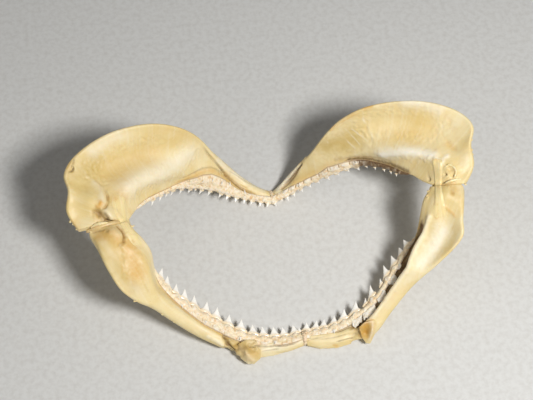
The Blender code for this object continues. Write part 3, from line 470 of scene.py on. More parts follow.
lowerLeft = {
    "name": "lowerLeft", "node": "meckel_left", "gumNode": "gum_lower_left",
    "jaw": "lower", "side": -1, "tongue": (0.3, 0.3, 1), "form": lowerLeftForm, "joint": jointLeft,
    "rim": 0.0,
    "gumWidths": (
        (0.0, 5.2), (0.12, 5.4), (0.24, 7.5), (0.40, 8.5), (0.52, 6.0), (0.60, 3.8), (0.80, 2.4)),
    "ribs": (
        (11, -59, 6, 10.5, -70, 4.0),
        (-3, -61, 6.5, -3, -73, 3.7),
        (-15, -60, 7, -15, -73, 3.7),
        (-27, -57, 8, -28, -72, 4.4),
        (-38, -52, 10, -43, -69, 7),
        (-50, -45, 14, -56, -63, 11),
        (-66, -35.5, 21, -71, -55, 17),
        (-81.5, -26, 32, -85, -47, 27),
        (-90, -18.5, 41, -97, -41, 39),
        (-93, -11, 50, -108, -39, 52),
        (-94, -4, 60, -118, -34, 65),
        (-98, 2, 67, -126, -19, 71),
        (-103, 8, 71, -131, -5, 73),
        (-107, 14, 72, -136, 6, 74),
        (-110, 18, 73, -139, 14, 76),
    ),
    "rod": (
        (-44, -66, 9, 3.0),
        (-38, -69, 9.5, 4.4),
        (-33, -71.5, 10.5, 4.2),
        (-31, -72.5, 11, 2.0),
    ),
    "swells": ((-122, 3, 77, 10, 4.5),),
    "hulls": (
        # the knob's upper lobe, its main lump and the front bar beside it
        ((-39.5, -66, 15), (-33, -64.5, 18), (-25.5, -65.5, 17), (-24, -68, 14), (-32, -71, 17),
         (-38, -70, 13), (-33, -67, 7)),
        ((-39, -69, 13), (-33, -69.5, 18.5), (-26, -70, 17), (-22.5, -72.5, 12.5), (-23.5, -77.5, 8),
         (-29, -80.5, 6.5), (-33.5, -80, 7), (-38.5, -75.5, 9), (-34, -76, 15.5), (-27, -76, 14),
         (-36, -69, 4), (-26, -70, 4)),
        ((-29, -67.5, 10.2), (-16, -67.3, 9.9), (-2, -66.9, 9.3), (8.5, -65.2, 9.3), (-28, -73, 9.5),
         (-15, -72, 8.2), (0, -70, 7.6), (9, -68.2, 7.4), (-27, -75.5, 4.2), (-14, -74.6, 3.0),
         (1, -72.4, 3.0), (8.5, -70, 3.6), (-25, -68, 3), (8.5, -64, 3)),
    ),
    "features": {
        "headCrease": (1.3, -1.5, {"brown": 0.6, "amber": 0.8}, (
            (-114.5, 10, 79), (-111.8, 6, 78), (-110.6, 2, 77), (-111.4, -2, 77), (-115, -4.5, 75.5))),
        "stripShade": (1.0, -1.0, {"brown": 0.35}, ((-135, 8, 78), (-129, 8, 79), (-122, 7.5, 80))),
        "headStain": (5.5, 0.2, {"amber": 0.5, "olive": 0.5}, (
            (-129, 4, 80), (-121, 3, 81), (-116, -2, 79))),
        "headFleck": (1.2, -0.4, {"brown": 0.3, "amber": 0.4}, ((-124, 6, 81), (-121, 5, 81))),
        "headGrey": (2.4, -0.5, {"olive": 0.6}, ((-133, 3, 77), (-131, -4, 75))),
        "headKnob": (3.0, 1.0, {"pale": 0.25}, ((-118, 5, 81), (-114, 2, 80))),
        "outerPale": (4, 0.4, {"pale": 0.1}, ((-124, -8, 76), (-121, -15, 73), (-118, -21, 70))),
        "outerEdge": (2.4, 0.0, {"olive": 0.35}, ((-128, -12, 72), (-124, -22, 69), (-119, -29, 66))),
        "outerLine": (1.5, -0.4, {"amber": 0.3}, (
            (-115, -6, 76), (-114.5, -14, 72), (-114.5, -22, 68))),
        "yellowMiddle": (7.0, -1.3, {"amber": 0.62}, (
            (-108, -4, 75), (-107, -12, 71), (-105, -22, 64))),
        "outerShade": (7.0, 0.0, {"olive": 0.8}, ((-120, -10, 72), (-117, -20, 67), (-110, -29, 60))),
        "mouthSide": (4, 0.3, {"pale": 0.2}, ((-99, 1, 69), (-95, -8, 61), (-92, -18, 50))),
        "paleFacet": (4.5, 0.4, {"pale": 0.25}, ((-110, -30, 62), (-104, -33, 56))),
        "facetLine": (0.9, -0.35, {"brown": 0.12}, ((-101, -27, 57), (-98.5, -33, 51))),
        "barPale": (4, 0.2, {"pale": 0.12}, ((-80, -42, 31), (-66, -51, 22), (-56, -57, 18))),
        "whiteShred": (1.0, 0.3, {"pale": 1.0}, ((-91, -44.5, 38), (-86, -46.5, 33))),
        "barGash": (1.5, -3.2, {"brown": 1.0}, (
            (-48, -58.5, 15), (-47, -62, 13.5), (-46, -65.5, 12), (-43.5, -69, 11.5))),
        # the brown notch under the neck is painted shadow
        "neckNotch": (2.4, -3.6, {"brown": 0.9, "allRound": True}, (
            (-47.5, -67.5, 8.5), (-44, -70.5, 8))),
        "splinter": (1.4, 0.7, {"pale": 0.6}, (
            (-60, -58, 17), (-54, -61.5, 14.5), (-50.5, -64.5, 12.5))),
        "neck": (2.6, -0.4, {"olive": 0.8, "brown": 0.2}, ((-45, -61, 15), (-41, -65, 14.5))),
        "knob": (7, 0.0, {"olive": 1.0, "amber": 0.3}, (
            (-40, -68, 14), (-33, -72, 18), (-27, -75, 14))),
        # brown along the knob's upper crease is painted shade; its amber is a stain
        "knobCrease": (1.8, -1.8, {"brown": 0.4, "amber": 0.4}, (
            (-40, -69.5, 14), (-34, -71, 18), (-27, -69.5, 17))),
        "knobHollow": (1.7, -1.0, {"amber": 0.3, "brown": 0.1}, ((-37.5, -73, 14), (-34.5, -75, 15))),
        "knobRidge": (2.4, 1.2, {"pale": 0.3}, ((-38, -70, 14), (-35, -74, 16.5), (-30, -78.5, 11))),
        "knobDent": (2.4, -1.7, {"olive": 1.0, "brown": 0.15}, ((-31, -72.5, 17), (-27.5, -73, 16))),
        "knobEdge": (0.7, 0.2, {"brown": 0.6, "amber": 0.6}, ((-28, -65.5, 17), (-25, -66.5, 16))),
        "knobShine": (2.0, 0.2, {"amber": 0.35}, ((-35, -76, 14), (-30, -79, 10))),
        "rodSeamA": (0.7, -0.7, {"brown": 0.6}, ((-23, -69.5, 11.5), (-12, -68.6, 10), (3, -67.5, 9))),
        "rodSeamB": (0.6, -0.6, {"brown": 0.5}, (
            (-23, -72.5, 9.5), (-15, -72.2, 8.5), (-9, -71.5, 7.5))),
        "rodStain": (1.6, -0.2, {"olive": 0.7}, ((-8, -69.5, 9), (-5, -70, 8.5))),
        "rodPale": (3.2, 0.0, {"pale": 0.5}, ((-20, -71, 9), (-6, -70, 8), (8, -67, 8))),
        "gumLine": (0.6, -0.5, {"brown": 0.7}, {"places": (0.02, 0.24), "beyondGum": 0.5}),
        "gumStain": (1.0, -0.3, {"amber": 0.5}, {"places": (0.26, 0.62), "beyondGum": 0.5}),
    },
}
lowerRight = {
    "name": "lowerRight", "node": "meckel_right", "gumNode": "gum_lower_right",
    "jaw": "lower", "side": 1, "tongue": (-0.3, 0.3, 1), "form": lowerRightForm, "joint": jointRight,
    "rim": 0.0,
    "gumWidths": (
        (0.0, 5.2), (0.15, 5.2), (0.25, 5.8), (0.35, 5.2), (0.45, 4.0), (0.55, 3.3), (0.72, 3.0),
        (0.80, 1.6)),
    "ribs": (
        (11, -59, 6, 10.5, -70, 4.0),
        (22, -59, 6.5, 20, -73, 3.7),
        (36, -57, 8, 33, -74, 3.7),
        (47, -54, 12, 46, -72, 5.5),
        (58, -49, 15, 61, -72, 13),
        (69, -40.5, 19, 78, -58, 20),
        (80, -29.5, 26, 94, -46, 30),
        (91.5, -19.5, 33, 112, -39, 50),
        (100.5, -10.5, 43.5, 130, -29, 68),
        (105, -3, 57, 133, -16, 73),
        (108, 5, 68, 136, -4, 75),
        (113, 11, 72, 138, 6, 76),
        (116, 17, 73, 139, 14, 78),
    ),
    "rod": (
        (68, -62, 17, 4.0),
        (62, -66, 14.5, 5.0),
        (58, -69, 13, 4.4),
        (56, -71, 12, 2.0),
    ),
    "swells": ((127, 2, 77, 10, 4.0),),
    "hulls": (
        # the knob, cut off at a slant, and the front bar with its square end
        ((50.5, -67, 19), (54.5, -65.5, 22.5), (62, -64.5, 23), (66, -67.5, 18), (60, -71.5, 19.5),
         (52, -72.5, 12.5), (55, -76.5, 8.5), (58, -77.5, 8.5), (66, -62, 15), (56, -65, 8),
         (64, -67, 8)),
        ((13, -65, 9.6), (25, -66.3, 9.8), (40, -65.8, 10.2), (47.2, -65.4, 10.8), (13, -68.6, 8.6),
         (24, -71.4, 7.8), (36, -72.4, 8.4), (47.4, -69.8, 8.6), (13.5, -71, 3.4), (22, -74.2, 2.8),
         (34, -75.2, 2.8), (44.6, -73.6, 3.6), (13.5, -64, 3), (46, -66, 3)),
    ),
    "features": {
        # the crest is painted paler: a painted highlight
        "crest": (2.0, 1.4, {"pale": 0.45}, {"places": (0.28, 0.84), "beyondRidge": -0.4}),
        # the groove is darkened brown and amber: painted shadow of the crest
        "groove": (3.2, -1.9, {"amber": 0.6, "brown": 0.9}, {"places": (0.22, 0.80), "beyondGum": 2.4}),
        "headSpot": (1.5, -0.6, {"brown": 0.4, "amber": 0.7}, ((127.5, 6, 80), (128, 2, 80))),
        "headGold": (2.6, 0.3, {"amber": 0.35}, ((126, 9, 80), (130, 4, 80))),
        "headPale": (2.6, 0.5, {"pale": 0.2}, ((133, 6, 79), (135, -1, 77))),
        "headShade": (7, 0.0, {"olive": 0.75}, ((121, 6, 78), (128, 0, 78))),
        "stainLeft": (1.7, 0.3, {"amber": 0.6}, ((115, -10, 69), (118, -7, 72), (121, -5.5, 74))),
        "stainRight": (1.3, 0.3, {"amber": 0.5}, ((121, -5.5, 75), (125, -9, 73), (128, -13, 72))),
        "sideStain": (2.0, 0.0, {"amber": 0.25}, ((132, 4, 79), (133, -2, 77))),
        "bladePale": (6, 0.3, {"pale": 0.75}, ((119, -18, 62), (112, -27, 53), (102, -34, 45))),
        "bladeHollow": (4.5, -1.0, {"pale": 0.1}, ((110, -12, 62), (107, -21, 54))),
        "barSpot": (2.6, 0.0, {"amber": 0.45}, ((80, -47, 29), (76, -51, 26))),
        "barPale": (3.5, 0.2, {"pale": 0.55}, ((96, -37, 42), (84, -43, 32), (70, -54, 23))),
        "knobPit": (2.5, -1.9, {"amber": 1.0, "brown": 0.3}, ((57, -68, 20.5), (55, -71.5, 16))),
        "knobFace": (5.0, 0.0, {"olive": 1.0, "amber": 0.85}, ((56, -67, 21), (54.5, -71, 15))),
        "knobEdge": (1.0, 0.5, {"pale": 0.6}, (
            (52, -67, 20), (56, -65.5, 22.5), (61, -66, 22.5), (60, -71.5, 19), (56.5, -76.5, 9.5))),
        # the brown under the knob is painted shadow
        "underKnob": (2.2, -2.6, {"brown": 1.0, "allRound": True}, (
            (55, -61, 16), (51, -64, 12), (49.5, -68, 9))),
        "rodSeamA": (0.45, -0.5, {"brown": 0.45}, ((20, -68.5, 9.4), (30, -69, 9.5), (46, -67.6, 10))),
        "rodSeamB": (0.45, -0.7, {"brown": 0.7}, ((33, -72, 8.4), (41, -71.5, 8.4), (47, -70.6, 8))),
        "rodStain": (1.3, 0.0, {"amber": 0.7}, ((32, -74, 6), (34, -74, 5))),
        "rodPale": (3.4, 0.0, {"pale": 0.15}, ((16, -68, 9), (30, -70, 8.5), (44, -69, 9))),
        "gumLine": (0.6, -0.5, {"brown": 0.7}, {"places": (0.02, 0.26), "beyondGum": 0.5}),
    },
}
jaws = (upperLeft, upperRight, lowerLeft, lowerRight)


def readRibs(bone, places):
    # for each place along the cartilage: near end, length, along, across, face, and the
    # section's form with the width of its gum
    spread = curveThrough(bone["ribs"], places, width=6)
    near, far = spread[:, :3], spread[:, 3:]
    along = np.gradient(0.5 * (near + far), axis=0)
    ribs = []
    for index, spot in enumerate(places):
        *form, back = smoothTable(bone["form"], spot)
        across = unit(far[index] - near[index])
        face = unit(np.cross(along[index], across))
        if face @ np.array(bone["tongue"]) < 0:
            face = -face
        length = float(np.linalg.norm(far[index] - near[index])) - back
        start = near[index] + across * back
        gumWidth = np.interp(spot, *np.transpose(bone["gumWidths"]))
        ribs.append((start, length, unit(along[index]), across, face, (*form, gumWidth)))
    return ribs


def profile(length, form, distance, rim=0.0):
    # middle and half thickness of a section at distances from the teeth
    ridge, bar, nearWidth, farWidth, arch, hollow, blade, _ = form
    distance = np.asarray(distance, dtype=float)
    ridge = min(ridge, boneDetail["mostRidge"] * length)
    width = np.where(distance < ridge, nearWidth, farWidth)
    bulge = np.exp(-((distance - ridge) / width) ** 2)
    fromRim = length - distance
    half = blade + (bar - blade) * bulge
    beadFrom, beadWidth, beadHeight = boneDetail["rimBead"]
    half = half + beadHeight * rim * np.exp(-((fromRim - beadFrom) / beadWidth) ** 2)
    beyond = np.clip((distance - ridge) / max(length - ridge, 1.0), 0.0, 1.0)
    middle = arch * bulge - hollow * np.sin(math.pi * beyond) ** 2
    curlWidth, curlHeight = boneDetail["rimCurl"]
    middle = middle + curlHeight * rim * np.exp(-((fromRim / curlWidth) ** 2))
    radius = np.minimum(half, 0.45 * length)
    edge = np.clip(np.minimum(distance, fromRim), 0.0, radius)
    return middle, half * np.sqrt(1.0 - (1.0 - edge / radius) ** 2)


def innerFace(bone, rib, distances, rim=0.0):
    # points on a section's inner face, with the swellings at the joint
    start, length, _, across, face, form = rib
    distances = np.asarray(distances, dtype=float)
    middle, half = profile(length, form, distances, rim)
    points = start + across * distances[:, None] + face * (middle + half)[:, None]
    rise = np.zeros(len(points))
    for x, y, z, radius, height in bone["swells"]:
        rise += height * np.exp(-(np.linalg.norm(points - (x, y, z), axis=1) / radius) ** 2)
    return points + face * rise[:, None]


def rimAt(bone, spot):
    # the plate's thickened edge fades out towards both ends
    first, firstSoft = boneDetail["rimFrom"]
    last, lastSoft = boneDetail["rimTo"]
    fromStart = np.clip((spot - first) / firstSoft, 0, 1)
    fromEnd = np.clip((last - spot) / lastSoft, 0, 1)
    return bone["rim"] * fromStart * fromEnd


def boneShell(bone):
    # the section's points lie closer together at both edges
    places = np.linspace(0.0, 1.0, boneDetail["ribs"])
    spread = 0.5 - 0.5 * np.cos(math.pi * np.linspace(0.0, 1.0, boneDetail["facePoints"]))
    rings = []
    for spot, rib in zip(places, readRibs(bone, places)):
        start, length, _, across, face, form = rib
        distances, rim = spread * length, rimAt(bone, spot)
        middle, half = profile(length, form, distances, rim)
        outer = start + across * distances[:, None] + face * (middle - half)[:, None]
        rings.append(np.concatenate((innerFace(bone, rib, distances, rim), outer[-2:0:-1])))
    return tube(rings)


def rodShell(path, steps=40, sides=24):
    centres = curveThrough(path, np.linspace(0.0, 1.0, steps))
    along = np.gradient(centres[:, :3], axis=0)
    turns = np.linspace(0.0, 2 * math.pi, sides, endpoint=False)
    rings = []
    for centre, direction in zip(centres, along):
        side = unit(np.cross(direction, (0.0, 0.0, 1.0)))
        up = np.cross(side, unit(direction))
        ring = np.outer(np.cos(turns), side) + np.outer(np.sin(turns), up)
        rings.append(centre[:3] + centre[3] * ring)
    return tube(rings)


def featurePath(bone, path):
    if isinstance(path, tuple):
        return path
    first, last = path["places"]
    points = []
    for rib in readRibs(bone, np.linspace(first, last, boneDetail["pathSteps"])):
        length, form = rib[1], rib[5]
        if "beyondGum" in path:
            distance = min(form[-1], boneDetail["mostGum"] * length) + path["beyondGum"]
        else:
            distance = min(form[0], boneDetail["mostRidge"] * length) + path["beyondRidge"]
        points.append(innerFace(bone, rib, [min(distance, 0.95 * length)])[0])
    return points


def growthLines(points, bone):
    # noise drawn out the way the cartilage grew: across the upper plates, along the lower bars
    rows, columns = boneDetail["lineGrid"]
    tree, spots, steps, lastMiddle = kdtree.KDTree(rows * columns), [], 0.0, None
    for start, length, along, across, _, _ in readRibs(bone, np.linspace(0.0, 1.0, rows)):
        middle = start + 0.5 * length * across
        if lastMiddle is not None:
            steps += np.linalg.norm(middle - lastMiddle)
        lastMiddle = middle
        for distance in np.linspace(0.0, length, columns):
            point = start + across * distance
            tree.insert(point, len(spots))
            spots.append((*point, *along, *across, steps, distance))
    tree.balance()
    spots = np.array(spots)[[tree.find(point)[1] for point in points]]
    offset = points - spots[:, :3]
    run = spots[:, 9] + np.sum(offset * spots[:, 3:6], axis=1)
    reach = spots[:, 10] + np.sum(offset * spots[:, 6:9], axis=1)
    runScale, reachScale = boneDetail["lineSpacing"][bone["jaw"]]
    drawn = np.stack((run / runScale, reach / reachScale, 0.01 * run), axis=1)
    return lumps(drawn, 1.0, boneDetail["lineSeed"])


def workFace(mesh, bone):
    # raises and hollows the inner face along its features, and stains it there, painting shade into some
    # hollows and highlights onto some ridges
    detail, points, normals = boneDetail, pointsOf(mesh), normalsOf(mesh)
    inner = np.clip(0.6 + 1.4 * (normals @ unit(bone["tongue"])), 0.0, 1.0)
    rise = sum(height * lumps(points, size, seed) for size, seed, height in detail["uneven"])
    stainsAndPaintedLight = {name: np.zeros(len(points)) for name in ("amber", "brown", "pale", "olive")}
    size, seed, share = detail["wander"]
    wander = 1.0 + share * lumps(points, size, seed)
    lines = growthLines(points, bone)
    rise += detail["lineRise"] * lines
    for width, height, look, path in bone["features"].values():
        away, part = distanceTo(points, featurePath(bone, path))
        near = np.exp(-(away * wander / width) ** 2)
        if width < detail["thinBelow"]:
            fromEnd = np.minimum(part, 1 - part)
            near = near * np.clip(fromEnd / detail["thinEnds"], 0.0, 1.0) ** 0.7
        near = near if look.get("allRound") else near * inner
        rise += height * near
        for name in stainsAndPaintedLight:
            stainsAndPaintedLight[name] = np.maximum(stainsAndPaintedLight[name], look.get(name, 0.0) * near)
    # what rests on the floor stays flat
    floorRoom = np.clip((points[:, 2] - jawOrigin[2]) / detail["floorEase"], 0.0, 1.0)
    setPoints(mesh, points + normals * (rise * floorRoom)[:, None])
    addMarks(mesh, dict(stainsAndPaintedLight, line=lines))


def makeBone(bone, material):
    shells = [boneShell(bone), rodShell(bone["rod"])]
    shells += [hullShell(corners) for corners in bone.get("hulls", ())]
    mesh = meshFrom(bone["name"] + "Shells", *joinShells(shells))
    first, last = np.array(bone["joint"], dtype=float)
    out = unit(last - first)
    rise = unit(jointRise - out * (out @ jointRise))
    turn = -1 if bone["jaw"] == "upper" else 1
    middle = (midlines[bone["jaw"]] + bone["side"] * midlineGap / 2, 0, 0)
    jointPlane = (first - rise * turn * clearance / 2, rise * turn)
    cutAway(mesh, (*jointCorners[bone["name"]], jointPlane), boneDetail["cutReach"])
    cutAway(mesh, ((middle, (-bone["side"], 0, 0)), ((0, 0, jawOrigin[2]), (0, 0, -1))))
    name = bone["name"] + "Cartilage"
    skin = remeshed(name, mesh, boneDetail["voxel"], boneDetail["easing"])
    workFace(skin, bone)
    return addPiece(name, skin, material, "cartilage", bone["node"])


# The gum bands and the teeth that grow from them.
gumDetail = {
    "steps": 420, "behind": 10, "over": 34, "sink": 0.35, "easing": 10,
    "taper": 9.0, "thinnest": 0.12,                  # it thins out over its last stretch
    "spots": (-0.5, -0.1, 0.0, 0.1, 0.5, 1.0),      # parts of the band's width, from behind the edge
    "heights": {"upper": (0.4, 1.2, 1.9, 2.0, 1.7, 0.5), "lower": (0.4, 1.2, 1.9, 1.9, 1.5, 0.4)},
    "fileWidth": 2.6, "fileRise": 0.4,               # each tooth's file stands a little higher
    "scallop": {"upper": 0.5, "lower": 1.2},         # and the skin climbs each tooth's root
    "folds": ((3.2, 0.35), (1.5, 0.35), (0.7, 0.16)),       # the dried skin's folds: size and height
    "cell": 2.9, "cellRise": 0.7,                    # half length of the cells over the next teeth
    "cellZone": {"upper": (0.50, 0.92), "lower": (0.64, 0.95)},
    "cellVary": {"size": (0.8, 1.1), "from": 0.08, "to": 0.05, "strength": (0.45, 1.0)},
    "slitGap": 0.4, "slitWidth": 0.3, "slitDepth": 0.8,      # and the slits between them
    "zones": {                                       # parts of the width: from, to and how softly
        "middle": (0.02, 0.9, 0.2), "climb": (-0.2, 0.14, 0.2), "roots": (-0.05, 0.14, 0.12),
        "innerRim": (0.95, 1.2, 0.08), "outerRim": (-0.6, -0.4, 0.1), "farSide": (0.78, 2.0, 0.4)},
    "farShadeFrom": (30, 15),                        # where a shaded far side starts, and how softly
    # strengths of the brown mark: stains on the rims, in the slits and creases, painted shade under the
    # plate and beside the crest, and the hidden under side
    "brown": {"rim": 0.5, "slits": 0.8, "creases": 0.4, "shade": 0.95, "under": 0.2},
}
toothDetail = {
    # the outline is height along the tooth, then how wide and how thick it is there
    "upper": {
        "height": 4.6, "width": 5.6, "thick": 2.2, "lean": 0.42, "inset": 0.1, "proud": 0.9,
        "outline": (
            (-0.24, 0.80, 0.90), (-0.10, 0.98, 1.00), (0.00, 0.96, 0.98), (0.06, 0.80, 0.86),
            (0.12, 0.64, 0.74), (0.19, 0.52, 0.64), (0.27, 0.44, 0.57), (0.36, 0.38, 0.50),
            (0.47, 0.32, 0.44), (0.58, 0.26, 0.37), (0.69, 0.195, 0.30), (0.80, 0.13, 0.22),
            (0.90, 0.07, 0.13), (0.97, 0.025, 0.06), (1.00, 0.006, 0.02))},
    "lower": {
        "height": 7.9, "width": 10.4, "thick": 2.8, "lean": 0.08, "inset": 0.2, "proud": 0.4,
        "outline": (
            (-0.30, 0.66, 0.25), (-0.18, 0.86, 0.45), (-0.06, 0.98, 0.74), (0.05, 1.00, 0.90),
            (0.13, 0.90, 0.84), (0.19, 0.76, 0.74), (0.26, 0.63, 0.66), (0.34, 0.52, 0.58),
            (0.44, 0.43, 0.50), (0.55, 0.34, 0.42), (0.67, 0.25, 0.33), (0.79, 0.165, 0.24),
            (0.89, 0.09, 0.15), (0.96, 0.035, 0.07), (1.00, 0.006, 0.02))},
    "atMidline": {"upper": 0.9, "lower": 0.8}, "fullSizeFrom": 45, "small": 0.5, "sides": 14,
    "bendPower": 1.15, "outerSide": 0.65, "waist": 0.06,     # flatter outside, the root pinched
    "crownFrom": (0.04, 0.30),                       # where the enamel starts, and how softly
    "vary": {"size": (0.93, 1.06), "turn": 7, "lean": 0.07},     # no two teeth are alike
    # the next teeth, where they show: how far over the band, how steeply, how large and how slim
    "next": {"upper": (0.60, 16, 0.95, 0.5), "lower": (0.55, 20, 0.55, 0.6)},
    "nextLean": 0.1, "nextSunk": 0.2, "nextVary": {"part": 0.05, "tilt": 8, "size": (0.85, 1.05)},
}
# Teeth stand at distances along the edge from the midline. "shade" darkens the band beyond a
# place, and "farShade" its side away from the teeth.
upperLeft["gum"] = {
    "last": 16, "cells": 0.3, "small": (64,), "next": (23, 37, 45, 53, 61),
    "teeth": (4, 10, 17, 23, 30, 37, 43, 52, 59, 69, 77, 86, 93, 101, 111)}
upperRight["gum"] = {
    "last": 17, "cells": 0.9, "small": (8, 84, 92, 101, 108, 114), "next": (26, 76), "shade": (70, 10),
    "teeth": (2, 13, 19, 26, 33, 40, 49, 58, 67, 76)}
lowerLeft["gum"] = {
    "last": 16, "cells": 0.35, "small": (3,), "next": (22, 48, 77, 100),
    "teeth": (7, 15, 22, 30, 38, 48, 58, 68, 77, 87, 96, 104, 113, 121.5)}
lowerRight["gum"] = {
    "last": 17, "cells": 0.5, "small": (51, 70), "next": (23,), "farShade": 0.75,
    "leans": ((30, 0.08), (50, 0.45), (70, 0.7)),
    "teeth": (2.5, 9, 15, 23, 31, 41, 58, 78, 88, 97, 105)}
flaps = {     # shreds of skin that stand out over the groove: where, how long and how wide
    "bone": lowerRight,
    "places": ((43, 8.0, 6.0), (53, 10.5, 7.5), (66, 9.0, 6.0), (80, 8.0, 5.0), (91, 5.0, 3.4)),
    "from": 0.60, "lift": 1.44, "rise": 0.9, "wave": 0.6, "thick": 0.3, "steps": (16, 9),
}


def box(values, low, high, soft):
    # 1 between low and high, easing to 0 over a soft edge
    return np.clip((values - low) / soft + 0.5, 0, 1) * np.clip((high - values) / soft + 0.5, 0, 1)


def bandLine(rib, parts):
    # the bare surface under a band, from behind the edge to the inner face, and its outward way
    start, length, _, across, face, form = rib
    gum = min(form[-1], boneDetail["mostGum"] * length)
    distances = np.abs(parts) * gum
    middle, half = profile(length, form, distances)
    line = np.stack((distances, middle + np.where(parts < 0, -half, half)), axis=1)
    slope = np.gradient(line, axis=0)
    away = np.stack((-slope[:, 1], slope[:, 0]), axis=1)
    away /= np.linalg.norm(away, axis=1)[:, None]
    points = start + line[:, :1] * across + line[:, 1:] * face
    return points, away[:, :1] * across + away[:, 1:] * face


def gumBand(bone, material):
    detail, band = gumDetail, bone["gum"]
    last = band["last"] / boneDetail["ribCount"]
    behind = -0.5 * np.linspace(1, 0, detail["behind"], endpoint=False) ** 1.4
    parts = np.concatenate((behind, np.linspace(0, 1, detail["over"]) ** 1.3))
    ribs = readRibs(bone, np.linspace(0.0, last, detail["steps"]))
    lines = [bandLine(rib, parts) for rib in ribs]
    ground, away = np.array([line[0] for line in lines]), np.array([line[1] for line in lines])
    for _ in range(detail["easing"]):       # so that the band turns roundly over the edge
        away[:, 1:-1] = 0.5 * away[:, 1:-1] + 0.25 * (away[:, :-2] + away[:, 2:])
    away /= np.linalg.norm(away, axis=2)[:, :, None]
    edge = ground[:, detail["behind"]]
    run = np.concatenate(([0.0], np.cumsum(np.linalg.norm(np.diff(edge, axis=0), axis=1))))
    height = np.interp(parts, detail["spots"], detail["heights"][bone["jaw"]])[None, :]
    height = height * np.clip(0.25 + (run[-1] - run) / detail["taper"], 0.0, 1.0)[:, None]

    flat = ground.reshape(-1, 3)
    folds = [rise * lumps(flat, size, size).reshape(height.shape) for size, rise in detail["folds"]]
    patches = lumps(flat, 2.4, 2.0).reshape(height.shape)
    files = [np.exp(-((run - spot) / detail["fileWidth"]) ** 2) for spot in band["teeth"]]
    files = np.max(files, axis=0)[:, None]
    zones = {name: box(parts, *limits)[None, :] for name, limits in detail["zones"].items()}
    cellsFrom, cellsTo = detail["cellZone"][bone["jaw"]]
    cells, slits = np.zeros_like(height), np.zeros_like(height)
    vary = detail["cellVary"]
    for spot in band["teeth"]:
        size = detail["cell"] * rng.uniform(*vary["size"])
        low = cellsFrom + rng.uniform(-vary["from"], vary["from"])
        high = cellsTo + rng.uniform(-vary["to"], vary["to"])
        across = box(parts, low, high, 0.10)[None, :]
        strength = band["cells"] * rng.uniform(*vary["strength"])
        cells = np.maximum(cells, strength * box(run - spot, -size, size, 0.7)[:, None] * across)
        beyond = (run - spot - size - detail["slitGap"]) / detail["slitWidth"]
        slits = np.maximum(slits, np.exp(-beyond ** 2)[:, None] * across)
    height = height + zones["middle"] * (detail["fileRise"] * (files - 0.5) + sum(folds))
    climb = (files - 0.45) * zones["climb"]
    height = height + detail["scallop"][bone["jaw"]] * climb
    height = height + detail["cellRise"] * cells - detail["slitDepth"] * slits * band["cells"]
    height = np.maximum(height, detail["thinnest"])

    over = ground + away * height[:, :, None]
    under = ground - away * detail["sink"]
    rings = np.concatenate((over, under[:, ::-1]), axis=1)
    mesh = meshFrom(bone["name"] + "Gum", *tube(rings))
    spots = np.clip(2.6 * lumps(flat, 2.3, 7.0).reshape(height.shape) - 0.7, 0, 1)
    rim = zones["innerRim"] + zones["outerRim"]
    # painted shade: the band is darkened beyond a place where the plate overhangs it, and on its far
    # side where the crest shadows it
    start, soft = band.get("shade", (1e3, 1.0))
    shade = np.clip((run - start) / soft, 0, 1)[:, None]
    shade = shade * np.clip(0.95 - 0.4 * files - 0.5 * patches, 0, 1)
    start, soft = detail["farShadeFrom"]
    farSide = band.get("farShade", 0.0) * zones["farSide"] * np.clip((run - start) / soft, 0, 1)[:, None]
    shade = np.maximum(shade, farSide * np.clip(0.9 + patches, 0, 1))
    creases = np.clip(-2.2 * folds[1] / detail["folds"][1][1] - 0.7, 0, 0.5) * zones["middle"]
    scallops = zones["roots"] * files
    brown, slitShare = detail["brown"], slits * band["cells"] ** 2
    stainsAndShade = brown["rim"] * rim + brown["slits"] * slitShare
    stainsAndShade = stainsAndShade + brown["creases"] * creases + brown["shade"] * shade
    marks = {
        "pale": np.clip(cells * 0.9 + 0.6 * scallops + 0.7 * np.clip(2.0 * patches - 0.1, 0, 1), 0, 1),
        "amber": np.clip(0.8 * spots * zones["middle"] + 0.5 * rim + 0.7 * slits, 0, 1),
        "brown": np.clip(stainsAndShade, 0, 1),
    }
    # the band's under side is hidden and only lightly stained
    addMarks(mesh, {name: np.concatenate((values, np.full_like(values, brown["under"])), axis=1).ravel()
                    for name, values in marks.items()})
    addPiece(bone["name"] + "Gum", mesh, material, "gum", bone["gumNode"])
    return run, ground, away, height, parts


def toothShell(foot, side, up, sizes, scale=1.0):
    # a lens-shaped cusp on a wide root, flatter outside; returns its points, faces and crown
    front = unit(np.cross(side, up))
    rings, crown = [], []
    turns = np.linspace(0.0, 2 * math.pi, toothDetail["sides"], endpoint=False)
    height, width, thick = [sizes[name] * scale for name in ("height", "width", "thick")]
    crownStart, crownSoft = toothDetail["crownFrom"]
    for level, breadth, depth in sizes["outline"]:
        bend = sizes["lean"] * height * max(level, 0.0) ** toothDetail["bendPower"]
        centre = foot + up * level * height + side * bend
        x = np.cos(turns) * width * breadth / 2
        y = np.sin(turns) * thick * depth / 2
        y = np.where(y * sizes["inside"] < 0, toothDetail["outerSide"] * y, y)
        if level <= 0.0:
            x = x * (1.0 + toothDetail["waist"] * np.cos(2 * turns))
        rings.append(centre + np.outer(x, side) + np.outer(y, front))
        crown += [float(np.clip((level - crownStart) / crownSoft, 0.0, 1.0))] * len(turns)
    points, faces = tube(rings)
    return points, faces, crown


def edgeSpot(spots, distance):
    # the place and directions at a distance along the teeth's line
    places = np.array([spot[0] for spot in spots])
    lengths = np.concatenate(([0.0], np.cumsum(np.linalg.norm(np.diff(places, axis=0), axis=1))))
    index = int(np.clip(np.searchsorted(lengths, distance) - 1, 0, len(places) - 2))
    t = (distance - lengths[index]) / (lengths[index + 1] - lengths[index])
    return spots[index] * (1 - t) + spots[index + 1] * t


